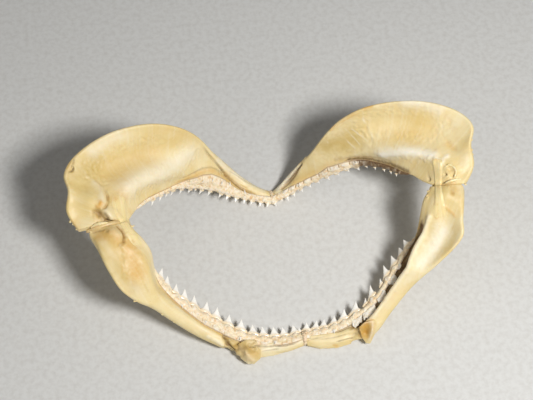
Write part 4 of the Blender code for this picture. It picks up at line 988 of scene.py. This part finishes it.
def teethOf(bone, bandShape, material):
    run, ground, away, height, parts = bandShape
    band, sizes, vary = bone["gum"], toothDetail[bone["jaw"]], toothDetail["vary"]
    places = np.linspace(0.0, 1.0, boneDetail["ribCount"] + 1)[:band["last"] + 1]
    lift = gumDetail["heights"][bone["jaw"]][2] + clearance
    spots = []
    for start, _, along, across, face, _ in readRibs(bone, places):
        spots.append(np.array([start - across * lift, along, across, face]))
    shells, crown = [], []

    def add(foot, side, up, tongue, scale, lean, slim=1.0):
        inside = 1.0 if np.cross(side, up) @ tongue > 0 else -1.0
        shape = dict(sizes, lean=lean, width=sizes["width"] * slim, inside=inside)
        points, faces, marks = toothShell(foot, side, up, shape, scale)
        shells.append((points, faces))
        crown.extend(marks)

    for distance in band["teeth"] + band["small"]:
        foot, side, across, face = edgeSpot(spots, distance)
        side, across, face = unit(side), unit(across), unit(face)
        grown = (toothDetail["atMidline"][bone["jaw"]], 1.0)
        scale = np.interp(distance, (0, toothDetail["fullSizeFrom"]), grown)
        scale = scale * rng.uniform(*vary["size"])
        scale = scale * (toothDetail["small"] if distance in band["small"] else 1.0)
        turn = math.radians(rng.uniform(-vary["turn"], vary["turn"]))
        up = unit(-across * math.cos(turn) + face * math.sin(turn))
        foot = foot + across * sizes["inset"] * scale + face * sizes["proud"]
        lean = np.interp(distance, *np.transpose(band["leans"])) if "leans" in band else sizes["lean"]
        add(foot, side, up, face, scale, lean + rng.uniform(-vary["lean"], vary["lean"]))
    part, tilt, size, slim = toothDetail["next"][bone["jaw"]]
    lean, sunk, vary = [toothDetail[name] for name in ("nextLean", "nextSunk", "nextVary")]
    for distance in band["next"]:
        row = int(np.clip(np.searchsorted(run, distance), 1, len(run) - 2))
        column = int(np.searchsorted(parts, part + rng.uniform(-vary["part"], vary["part"])))
        out, side = away[row, column], unit(ground[row + 1, column] - ground[row - 1, column])
        inward = unit(ground[row, column + 1] - ground[row, column - 1])
        steep = math.radians(tilt + rng.uniform(-vary["tilt"], vary["tilt"]))
        up = unit(inward * math.cos(steep) + out * math.sin(steep))
        foot = ground[row, column] + out * (height[row, column] - sunk)
        scale = size * rng.uniform(*vary["size"])
        add(foot, unit(side - up * (side @ up)), up, out, scale, lean, slim)
    mesh = meshFrom(bone["name"] + "Teeth", *joinShells(shells))
    addMarks(mesh, {"crown": crown})
    addPiece(bone["name"] + "Teeth", mesh, material, "gum", bone["gumNode"])


def makeFlaps(look, bandShape, material):
    # thin shreds along the band's inner side, each with curled and ragged edges
    bone, run = look["bone"], bandShape[0]
    longSteps, wideSteps = look["steps"]
    shells = []
    for index, (middle, length, width) in enumerate(look["places"]):
        spots = np.linspace(middle - length / 2, middle + length / 2, longSteps)
        last = bone["gum"]["last"] / boneDetail["ribCount"]
        places = np.interp(spots, run, np.linspace(0.0, last, len(run)))
        rings = []
        for spot, rib in zip(np.linspace(-1, 1, longSteps), readRibs(bone, places)):
            gum = rib[5][-1]
            reach = width * (1 - 0.45 * spot ** 2 + 0.3 * noise.noise(Vector((3 * spot, index, 0.5))))
            parts = np.linspace(look["from"], look["from"] + reach / gum, wideSteps)
            ground = bandLine(rib, parts)[0]
            wave = [noise.noise(Vector((2.2 * spot, 3 * part, index + 2.0))) for part in parts]
            lift = look["lift"] + look["rise"] * np.linspace(0, 1, wideSteps)
            lift = lift + look["wave"] * np.array(wave)
            # a shred stays out straight while the cartilage under it drops away
            across, face = rib[3], rib[4]
            level = ground[:1] + (ground - ground[:1]) @ np.outer(across, across) + face * lift[:, None]
            thick = look["thick"] * np.clip(1.4 - abs(spot), 0.4, 1.0)
            rings.append(np.concatenate((level, (level - face * thick)[::-1])))
        shells.append(tube(rings))
    points, faces = joinShells(shells)
    mesh = meshFrom("lowerRightShreds", points, faces)
    speck = lumps(points, 1.2, 6.0)
    addMarks(mesh, {
        "pale": np.clip(0.9 + speck, 0.4, 1.0), "amber": np.clip(1.8 * speck - 0.7, 0, 0.8),
        "brown": np.clip(-1.8 * speck - 0.9, 0, 0.6)})
    addPiece("lowerRightShreds", mesh, material, "gum")


# The dried ligaments, the tissue in the symphyses and what clings to the bones.
strapDetail = {
    "rows": 90, "across": 64, "sink": 0.8, "fibre": 0.045, "fibres": 17, "easing": 30,
    "rayFrom": 140, "lowest": 60,      # looks down for the bones from here, and takes nothing lower
    "softEnds": (0.22, 0.3),           # shares of its run over which it thickens and thins
    "wander": 0.35, "ragged": (0.2, 0.4),              # of the fibres, and how the sides sink in
}
ligaments = {     # a strap's two edges as seen from above, from the upper bone to the lower
    "leftLigament": {
        "node": "ligament_left", "bones": ("upperLeft", "lowerLeft"), "lift": 0.55,
        "edges": (
            ((-119, 37), (-119, 31), (-118.5, 25), (-117, 18.5), (-114, 12), (-111.5, 6), (-109.5, 0),
             (-107.5, -9)),
            ((-105.5, 37), (-105.3, 32), (-105.6, 27), (-106, 22), (-106.2, 17.5), (-104.8, 12),
             (-102, 6), (-98, -1), (-95, -9))),
        "stain": {
            "path": ((-114, 31, 84), (-111, 34, 84), (-108.5, 36, 82)), "width": 4.0, "strength": 0.35},
    },
    "rightLigament": {
        "node": "ligament_right", "bones": ("upperRight", "lowerRight"), "lift": 0.6,
        "edges": (
            ((112.5, 34), (115.5, 28.5), (116.8, 22), (116.6, 16), (115.6, 10), (114, 3), (111.5, -5),
             (107.5, -15)),
            ((128, 31.5), (126, 25), (124.4, 18.6), (123.2, 13), (121.8, 8), (121.6, 1), (123, -6),
             (126.5, -16))),
        "stain": {"path": ((114, 32, 84), (120, 30, 84), (125, 30, 86)), "width": 3.0, "strength": 0.3},
    },
}


def strapGround(strap, bonePieces, body):
    # the bones' surface under a strap, eased over the joint where the strap has body
    detail = strapDetail
    steps = np.linspace(0, 1, detail["rows"])
    first, second = [curveThrough(edge, steps, width=2) for edge in strap["edges"]]
    heights = np.full((detail["rows"], detail["across"]), np.nan)
    spots = np.empty((*heights.shape, 2))
    for row in range(detail["rows"]):
        for column, t in enumerate(np.linspace(0, 1, detail["across"])):
            spots[row, column] = first[row] * (1 - t) + second[row] * t
            above = toWorld((*spots[row, column], detail["rayFrom"]))
            for name in strap["bones"]:
                found, spot, _, _ = bonePieces[name].ray_cast(above, (0, 0, -1))
                if found:
                    heights[row, column] = np.nanmax((heights[row, column], spot.z / mm + jawOrigin[2]))
    rows = np.arange(detail["rows"])
    for column in heights.T:
        known = ~np.isnan(column) & (column > detail["lowest"])
        column[:] = np.interp(rows, rows[known], column[known])
    eased = heights.copy()
    for _ in range(detail["easing"]):
        eased[1:-1] = 0.5 * eased[1:-1] + 0.25 * (eased[:-2] + eased[2:])
        eased[:, 1:-1] = 0.5 * eased[:, 1:-1] + 0.25 * (eased[:, :-2] + eased[:, 2:])
    heights += (np.maximum(eased, heights) - heights) * body
    return np.concatenate((spots, heights[:, :, None]), axis=2)


def makeStrap(name, strap, material, bonePieces):
    detail = strapDetail
    rows, columns = detail["rows"], detail["across"]
    u = np.linspace(0.0, 1.0, columns)[None, :]
    v = np.linspace(0.0, 1.0, rows)[:, None]
    nearEnd, farEnd = detail["softEnds"]
    ends = np.clip(v / nearEnd, 0, 1) * np.clip((1 - v) / farEnd, 0, 1)
    body = np.clip(1.5 * np.sin(math.pi * u) ** 1.6, 0, 1) * ends * ends * (3 - 2 * ends)
    ground = strapGround(strap, bonePieces, body)
    along = np.gradient(ground, axis=0)
    across = np.gradient(ground, axis=1)
    away = np.cross(along, across)
    away /= np.linalg.norm(away, axis=2)[:, :, None]
    away *= np.sign(away[:, :, 2].mean()) or 1.0
    # the fibres run along the strap and waver a little
    wander = detail["wander"] * np.array([
        [noise.noise(Vector((3 * a, 5 * b, 1.7))) for a in u[0]] for b in v[:, 0]])
    fibres = np.array([
        [noise.noise(Vector((detail["fibres"] * (a + 0.05 * w), 3 * b, 4.0)))
         for a, w in zip(u[0], line)] for b, line in zip(v[:, 0], wander)])
    least, more = detail["ragged"]
    ragged = least + more * np.clip(fibres + 0.3, 0, 1) * (1 - body)
    lift = -ragged + (strap["lift"] + ragged) * body + detail["fibre"] * 2 * fibres * body
    over = ground + away * lift[:, :, None]
    under = ground - away * detail["sink"]
    rings = np.concatenate((over, under[:, ::-1]), axis=1)
    mesh = meshFrom(name, *tube(rings))
    fade, stain = np.clip(1.3 * body, 0, 1), strap["stain"]
    fromStain = distanceTo(pointsOf(mesh), stain["path"])[0] / stain["width"]
    addMarks(mesh, {
        "fade": np.concatenate((fade, fade[:, ::-1]), axis=1).ravel(),
        "fibre": np.concatenate((fibres, fibres[:, ::-1]), axis=1).ravel(),
        "amber": stain["strength"] * np.exp(-fromStain ** 2)})
    addPiece(name, mesh, material, "ligament", strap["node"])


def lumpShell(centre, halfSizes, seed, rough=0.25, rows=14, columns=20):
    # an uneven rounded scrap of dried tissue
    turns = np.linspace(0.0, 2 * math.pi, columns, endpoint=False)
    rings = []
    for tilt in np.linspace(0.04, math.pi - 0.04, rows):
        ring = np.stack((np.sin(tilt) * np.cos(turns), np.sin(tilt) * np.sin(turns),
                         np.full(columns, np.cos(tilt))), axis=1)
        swell = 1.0 + rough * lumps(ring, 0.55, seed) + 0.5 * rough * lumps(ring, 0.2, seed + 3)
        rings.append(np.array(centre) + ring * np.array(halfSizes) * swell[:, None])
    return tube(rings)


def fibreShell(path, radius):
    # a thin hair of dried tissue
    spots = np.array([(*point, radius) for point in path])
    return rodShell(spots, steps=16, sides=6)


symphyses = {
    "upperSymphysis": {
        "node": "symphysis_upper", "centre": (3.5, 57.2, 5.8), "size": (1.2, 3.8, 3.2), "crumbs": 20},
    "lowerSymphysis": {
        "node": "symphysis_lower", "centre": (11.0, -65, 6.2), "size": (2.3, 5.4, 4.9), "crumbs": 7},
}
strips = {     # dried membrane along the joints: where it runs, how thick it is and how stained
    "leftJointStrip": {"stain": 0.0, "path": (
        (-134, 11, 79, 0.5), (-130.5, 11.8, 81, 1.1), (-126, 11.9, 82, 1.3),
        (-121.5, 12.2, 81.4, 0.5))},
    "leftJointCapsule": {"stain": 0.3, "path": (
        (-137.5, 9.8, 75.5, 0.9), (-131, 10.5, 77.6, 2.0), (-124, 12.0, 78.3, 2.2),
        (-117, 13.6, 77, 1.7), (-110, 15.4, 71.5, 0.9))},
    "leftJointSpur": {"stain": 0.1, "path": (
        (-106, 12.5, 71, 0.9), (-104.2, 12, 71, 0.6), (-103.2, 12.6, 71.4, 0.3))},
    "rightJointStrip": {"stain": 0.0, "path": (
        (124, 10.2, 81.5, 0.4), (128, 10.4, 83.4, 0.9), (132, 10.8, 83.4, 0.9),
        (137, 11.8, 81.5, 0.4))},
    "rightJointCapsule": {"stain": 0.3, "path": (
        (117, 12.6, 72.8, 0.8), (121, 12.2, 74.6, 0.9), (124.5, 11.5, 77.8, 1.3),
        (129.5, 10.6, 79.8, 1.9), (136, 9.8, 78.8, 1.2))},
    "rightJointLoop": {"stain": 0.0, "path": (
        (125.6, 21.5, 84.5, 0.5), (128.5, 22.2, 86, 0.8), (131.6, 20, 86.4, 0.8),
        (132.6, 16, 85.6, 0.8), (131, 12.6, 84.4, 0.6))},
}
scraps = {     # crumbs with a hair each, on the nearest place of a bone: where and how big
    "upperLeftScraps": {"bone": "upperLeft", "lumps": (
        (-150, 15, 82, 1.1), (-149, 13, 81, 0.7), (-146, 10, 78, 0.8), (-104, 15, 72, 0.6),
        (-41, 66, 31, 0.5), (-143, 53, 96, 0.6))},
    "upperRightScraps": {"bone": "upperRight", "lumps": (
        (151, 31, 90, 0.9), (150, 27, 89, 0.6), (150, 37, 92, 0.5), (57, 68, 53, 0.7),
        (139, 9, 79, 0.9), (27, 66, 30, 0.5))},
    "lowerLeftScraps": {"bone": "lowerLeft", "lumps": (
        (-127, -8, 72, 0.7), (-124, -20, 69, 0.6), (-110, -39, 53, 0.9), (-92, -45, 35, 0.8),
        (-84, -48, 28, 0.6), (-33, -63, 15, 1.0), (-28, -64, 13, 0.7), (-44, -62, 14, 0.8))},
    "lowerRightScraps": {"bone": "lowerRight", "lumps": (
        (111, 9, 74, 1.2), (110, 6, 73, 1.0), (112, 4, 72, 0.8), (109, 3, 70, 0.7), (126, 7, 82, 0.6),
        (53, -60, 17, 0.9), (49, -64, 13, 0.8))},
}


def makeSymphysis(name, look, material):
    centre, size = np.array(look["centre"]), np.array(look["size"])
    shells = [lumpShell(centre, size, 1.0, 0.15, rows=26, columns=32)]
    for index in range(look["crumbs"]):
        turn = rng.uniform(0, 2 * math.pi)
        beside = (math.cos(turn) * size[1] * 0.95, abs(math.sin(turn)) * size[2] * 0.95)
        spot = centre + (rng.uniform(-1.6, 1.6), *beside)
        radius = rng.uniform(0.35, 0.9)
        shells.append(lumpShell(spot, (radius * 1.2, radius, radius * 0.8), 5.0 + index))
    for index in range(7):
        turn = rng.uniform(0.2, math.pi - 0.2)
        spot = centre + (rng.uniform(-1.5, 1.5), math.cos(turn) * size[1], math.sin(turn) * size[2])
        path = [spot]
        for _ in range(3):
            step = (rng.uniform(-1.4, 1.4), rng.uniform(-1.2, 1.2), rng.uniform(-0.2, 0.9))
            path.append(path[-1] + step)
        shells.append(fibreShell(path, 0.13))
    points, faces = joinShells(shells)
    points[:, 2] = np.maximum(points[:, 2], jawOrigin[2] + 0.02)
    mesh = meshFrom(name, points, faces)
    speck = lumps(points, 0.9)
    addMarks(mesh, {
        "pale": 0.3 + speck, "amber": np.clip(0.3 + 1.6 * speck, 0, 0.7),
        "brown": np.clip(-1.6 * speck, 0, 0.2)})
    addPiece(name, mesh, material, "ligament", look["node"])


def makeStrip(name, look, material):
    points, faces = rodShell(look["path"], steps=30, sides=14)
    points = points + 0.25 * lumps(points, 1.6, 8.0)[:, None] * (0.3, 0.6, 1.0)
    mesh = meshFrom(name, points, faces)
    addMarks(mesh, {
        "fade": np.ones(len(points)), "fibre": (0.5 + lumps(points, 1.5)) * (1 - look["stain"]),
        "amber": np.full(len(points), look["stain"]),
        "brown": np.full(len(points), 0.6 * look["stain"])})
    addPiece(name, mesh, material, "ligament")


def makeScraps(name, look, material, bonePiece):
    surface = pointsOf(bonePiece.data)
    shells = []
    for index, (x, y, z, radius) in enumerate(look["lumps"]):
        nearest = surface[np.argmin(np.linalg.norm(surface - (x, y, z), axis=1))]
        for part in range(3):
            spot = nearest + rng.uniform(-0.8, 0.8, 3) * radius
            size = radius * rng.uniform(0.4, 0.9, 3)
            shells.append(lumpShell(spot, size, 11.0 + 3 * index + part, 0.35, rows=9, columns=12))
        path = [nearest]
        for _ in range(3):
            path.append(path[-1] + rng.uniform(-1.0, 1.0, 3) * radius * (1.0, 1.0, 0.5) + (0, 0, 0.25))
        shells.append(fibreShell(path, 0.11))
    points, faces = joinShells(shells)
    mesh = meshFrom(name, points, faces)
    addMarks(mesh, {"fade": np.ones(len(points)) * 0.3, "fibre": lumps(points, 0.8)})
    addPiece(name, mesh, material, "ligament")


def colour(hexCode):
    values = [int(hexCode[index:index + 2], 16) / 255 for index in (1, 3, 5)]
    linear = [v / 12.92 if v <= 0.04045 else ((v + 0.055) / 1.055) ** 2.4 for v in values]
    return (*linear, 1.0)


def addNode(tree, kind, settings=None, inputs=None, output=0):
    # adds a node with its settings and links, and gives back one of its outputs
    node = tree.nodes.new("ShaderNode" + kind)
    for key, value in (settings or {}).items():
        setattr(node, key, value)
    for key, value in (inputs or {}).items():
        if isinstance(value, bpy.types.NodeSocket):
            tree.links.new(value, node.inputs[key])
        else:
            node.inputs[key].default_value = value
    return node.outputs[output]


def perMetre(size):
    # a pattern's scale from its size in millimetres
    return 1.0 / (size * mm)


def layColours(tree, where, base, layers):
    # each layer's colour shows as much as its grain and its mark on the mesh say
    skin = colour(base)
    for layer in layers:
        amount = layer["most"]
        if "grain" in layer:
            low, high = layer.get("between", (0.3, 0.6))
            speck = addNode(tree, "TexNoise", None, {
                "Vector": where, "Scale": perMetre(layer["grain"]), "Detail": 3.0, "Roughness": 0.55})
            amount = addNode(tree, "MapRange", None, {
                "Value": speck, "From Min": low, "From Max": high,
                "To Min": layer.get("least", 0.0), "To Max": layer["most"]})
        if "mark" in layer:
            drawn = addNode(tree, "Attribute", {"attribute_name": layer["mark"]}, output="Fac")
            amount = addNode(tree, "Math", {"operation": "MULTIPLY"}, {0: drawn, 1: amount})
        skin = addNode(tree, "Mix", {"data_type": "RGBA"}, {
            0: amount, 6: skin, 7: colour(layer["colour"])}, 2)
    return skin


def layBumps(tree, where, bumps):
    # each bump is a grain size and a depth in millimetres, and how strongly it shows
    normal = None
    for grain, depth, strength in bumps:
        relief = addNode(tree, "TexNoise", None, {
            "Vector": where, "Scale": perMetre(grain), "Detail": 4.0, "Roughness": 0.55})
        inputs = {"Strength": strength, "Distance": depth * mm, "Height": relief}
        if normal:
            inputs["Normal"] = normal
        normal = addNode(tree, "Bump", None, inputs)
    return normal


def makeMaterial(look):
    material = bpy.data.materials.new(look["name"])
    material.use_nodes = True
    tree = material.node_tree
    shader = tree.nodes["Principled BSDF"]
    where = addNode(tree, "TexCoord", output="Object")
    tree.links.new(layColours(tree, where, look["base"], look["layers"]), shader.inputs["Base Color"])
    tree.links.new(layBumps(tree, where, look["bumps"]), shader.inputs["Normal"])
    grain, low, high = look["roughness"]
    worn = addNode(tree, "TexNoise", None, {"Vector": where, "Scale": perMetre(grain), "Detail": 3.0})
    worn = addNode(tree, "MapRange", None, {
        "Value": worn, "From Min": 0.35, "From Max": 0.65, "To Min": low, "To Max": high})
    tree.links.new(worn, shader.inputs["Roughness"])
    for name, value in look["shader"].items():
        shader.inputs[name].default_value = value
    return material


# Cartilage, dried and cleaned: a calcified skin of tiny tiles over a translucent core, so it
# is creamy with yellow depths, has a soft gloss, and darkens to brown where tissue was left.
# Its brown and olive marks also carry painted shade in grooves, folds, pits and hollows, and
# its pale mark painted highlights on the ridges and crests.
driedCartilage = {
    "name": "driedCartilage", "base": "#EDDBAA",
    "layers": (
        {"colour": "#E3C987", "most": 1.0, "grain": 34.0, "between": (0.36, 0.66)},     # straw patches
        {"colour": "#D6B46C", "most": 0.28, "grain": 9.0, "between": (0.48, 0.75)},   # deeper blotches
        {"colour": "#FBF6E6", "most": 0.24, "mark": "line"},                            # growth lines
        {"colour": "#B98C48", "most": 0.35, "grain": 1.6, "between": (0.69, 0.76)},     # flecks
        # the olive and brown layers show stains and also painted shade; the pale layer shows pale tissue
        # and also painted highlights
        {"colour": "#BFA04A", "most": 0.70, "least": 0.5, "grain": 5.0, "mark": "olive"},
        {"colour": "#FCF6E4", "most": 1.0, "least": 0.75, "grain": 4.0, "mark": "pale"},
        {"colour": "#D9A03A", "most": 1.0, "least": 0.6, "grain": 2.5, "mark": "amber"},
        {"colour": "#5E3C18", "most": 1.0, "least": 0.65, "grain": 1.5, "mark": "brown"},
    ),
    # real tiles are about 0.5 mm; drawn twice as coarse, so that they show
    "bumps": ((2.6, 0.16, 0.4), (1.0, 0.07, 0.35)),
    "roughness": (6.0, 0.44, 0.60),
    "shader": {
        "IOR": 1.5, "Coat Weight": 0.05, "Coat Roughness": 0.35, "Subsurface Weight": 0.12,
        "Subsurface Radius": (1.0, 0.65, 0.3), "Subsurface Scale": 2.0 * mm},
}
# Gum, dried over the tooth files: a shrunken, wrinkled skin that turns creamy, with paler
# cells over the teeth in waiting and rusty stains in its creases. Its brown mark also carries
# painted shade where the plate overhangs the band, and the crest's painted shadow beside it.
driedGum = {
    "name": "driedGum", "base": "#F4E3C2",
    "layers": (
        {"colour": "#EDD0A6", "most": 0.6, "grain": 5.0, "between": (0.42, 0.66)},
        {"colour": "#FBF5EA", "most": 0.8, "mark": "pale"},
        {"colour": "#E6B766", "most": 0.45, "grain": 1.8, "between": (0.56, 0.70)},
        {"colour": "#DCA24C", "most": 0.65, "mark": "amber"},
        {"colour": "#553611", "most": 0.95, "mark": "brown"},
    ),
    "bumps": ((1.6, 0.3, 0.5), (0.7, 0.14, 0.5)),
    "roughness": (1.4, 0.45, 0.65),
    "shader": {
        "IOR": 1.45, "Subsurface Weight": 0.12, "Subsurface Radius": (1.0, 0.6, 0.4),
        "Subsurface Scale": 1.2 * mm},
}
# Teeth: glassy enamel on a chalky, slightly porous root. Bright and hard-edged at the cusp.
toothEnamel = {
    "name": "toothEnamel", "base": "#F1DEBB",
    "layers": (
        {"colour": "#DDAE72", "most": 0.6, "grain": 1.3, "between": (0.5, 0.72)},
        {"colour": "#FBF8F1", "most": 1.0, "least": 0.85, "grain": 0.9, "between": (0.3, 0.7),
         "mark": "crown"},
    ),
    "bumps": ((0.6, 0.07, 0.3),),
    "roughness": (2.0, 0.22, 0.34),
    "shader": {
        "IOR": 1.62, "Subsurface Weight": 0.1, "Subsurface Radius": (0.8, 0.7, 0.6),
        "Subsurface Scale": 0.8 * mm},
}
# Ligament, dried hard: honey-coloured fibres that fade into the bone's own colour at the sides.
driedLigament = {
    "name": "driedLigament", "base": "#E8D29B",
    "layers": (
        {"colour": "#F3DCA0", "most": 0.8, "mark": "fade"},
        {"colour": "#FBF1CE", "most": 0.5, "mark": "fibre"},
        {"colour": "#D3A353", "most": 0.4, "grain": 4.0, "between": (0.55, 0.75)},
        {"colour": "#CF9A3C", "most": 1.0, "mark": "amber"},
        {"colour": "#5E3C18", "most": 1.0, "mark": "brown"},
    ),
    "bumps": ((2.4, 0.12, 0.3), (0.8, 0.1, 0.4)),
    "roughness": (3.0, 0.34, 0.5),
    "shader": {
        "IOR": 1.5, "Subsurface Weight": 0.15, "Subsurface Radius": (1.0, 0.6, 0.2),
        "Subsurface Scale": 1.5 * mm},
}
cartilage, gum, enamel, ligament = [
    makeMaterial(look) for look in (driedCartilage, driedGum, toothEnamel, driedLigament)]
print("materials are ready")

bonePieces = {}
for bone in jaws:
    bonePieces[bone["name"]] = makeBone(bone, cartilage)
    bandShape = gumBand(bone, gum)
    teethOf(bone, bandShape, enamel)
    if bone is flaps["bone"]:
        makeFlaps(flaps, bandShape, gum)
for name, strap in ligaments.items():
    makeStrap(name, strap, ligament, bonePieces)
for name, look in strips.items():
    makeStrip(name, look, ligament)
for name, look in symphyses.items():
    makeSymphysis(name, look, gum)
for name, look in scraps.items():
    makeScraps(name, look, ligament, bonePieces[look["bone"]])
print("the jaw is together")

studio = {
    "cameraDistance": 1.1, "cameraHeight": 62.0, "cameraTurn": -8.0, "lens": 94.36,
    "target": (-0.44, 57.34, 0.0),
    "keyFrom": (0.359, -0.501, 1.0), "keyDistance": 1.1, "keySize": 0.2, "keyPower": 10.8,
    "fillFrom": (-0.8, -0.3, 1.0), "fillDistance": 1.8, "fillSize": 1.5, "fillPower": 3.4,
    "sky": "#F2F4F8", "skyStrength": 0.12,
}
paperFloor = {
    "name": "paperFloor", "base": "#D9D8D4",
    "layers": ({"colour": "#CFCDC8", "most": 1.0, "grain": 4.0, "between": (0.4, 0.7)},),
    "bumps": ((2.0, 0.1, 0.2),), "roughness": (8.0, 0.8, 0.9), "shader": {"IOR": 1.45}, "reach": 3.0,
}


def makeFloor(look):
    reach = look["reach"]
    mesh = bpy.data.meshes.new("floor")
    corners = [(-reach, -reach, 0), (reach, -reach, 0), (reach, reach, 0), (-reach, reach, 0)]
    mesh.from_pydata(corners, [], [(0, 1, 2, 3)])
    link("floor", mesh, makeMaterial(look))


def makeCamera():
    target = Vector(toWorld(studio["target"]))
    turn, height = math.radians(studio["cameraTurn"]), math.radians(studio["cameraHeight"])
    level = math.cos(height)
    out = Vector((math.sin(turn) * level, -math.cos(turn) * level, math.sin(height)))
    lens = bpy.data.cameras.new("camera")
    lens.lens = studio["lens"]
    camera = bpy.data.objects.new("camera", lens)
    bpy.context.scene.collection.objects.link(camera)
    camera.location = target + out * studio["cameraDistance"]
    camera.rotation_euler = (-out).to_track_quat("-Z", "Y").to_euler()
    bpy.context.scene.camera = camera


def addLight(name):
    lamp = bpy.data.lights.new(name, "AREA")
    lamp.size = studio[name + "Size"]
    lamp.energy = studio[name + "Power"]
    light = bpy.data.objects.new(name + "Light", lamp)
    bpy.context.scene.collection.objects.link(light)
    away = Vector(studio[name + "From"]).normalized()
    light.location = away * studio[name + "Distance"]
    light.rotation_euler = (-away).to_track_quat("-Z", "Y").to_euler()


makeFloor(paperFloor)
makeCamera()
addLight("key")
addLight("fill")
sky = bpy.data.worlds.new("studio")
sky.use_nodes = True
sky.node_tree.nodes["Background"].inputs["Color"].default_value = colour(studio["sky"])
sky.node_tree.nodes["Background"].inputs["Strength"].default_value = studio["skyStrength"]
bpy.context.scene.world = sky
bpy.context.scene.view_settings.view_transform = "Standard"
print("floor, lights and camera are set")
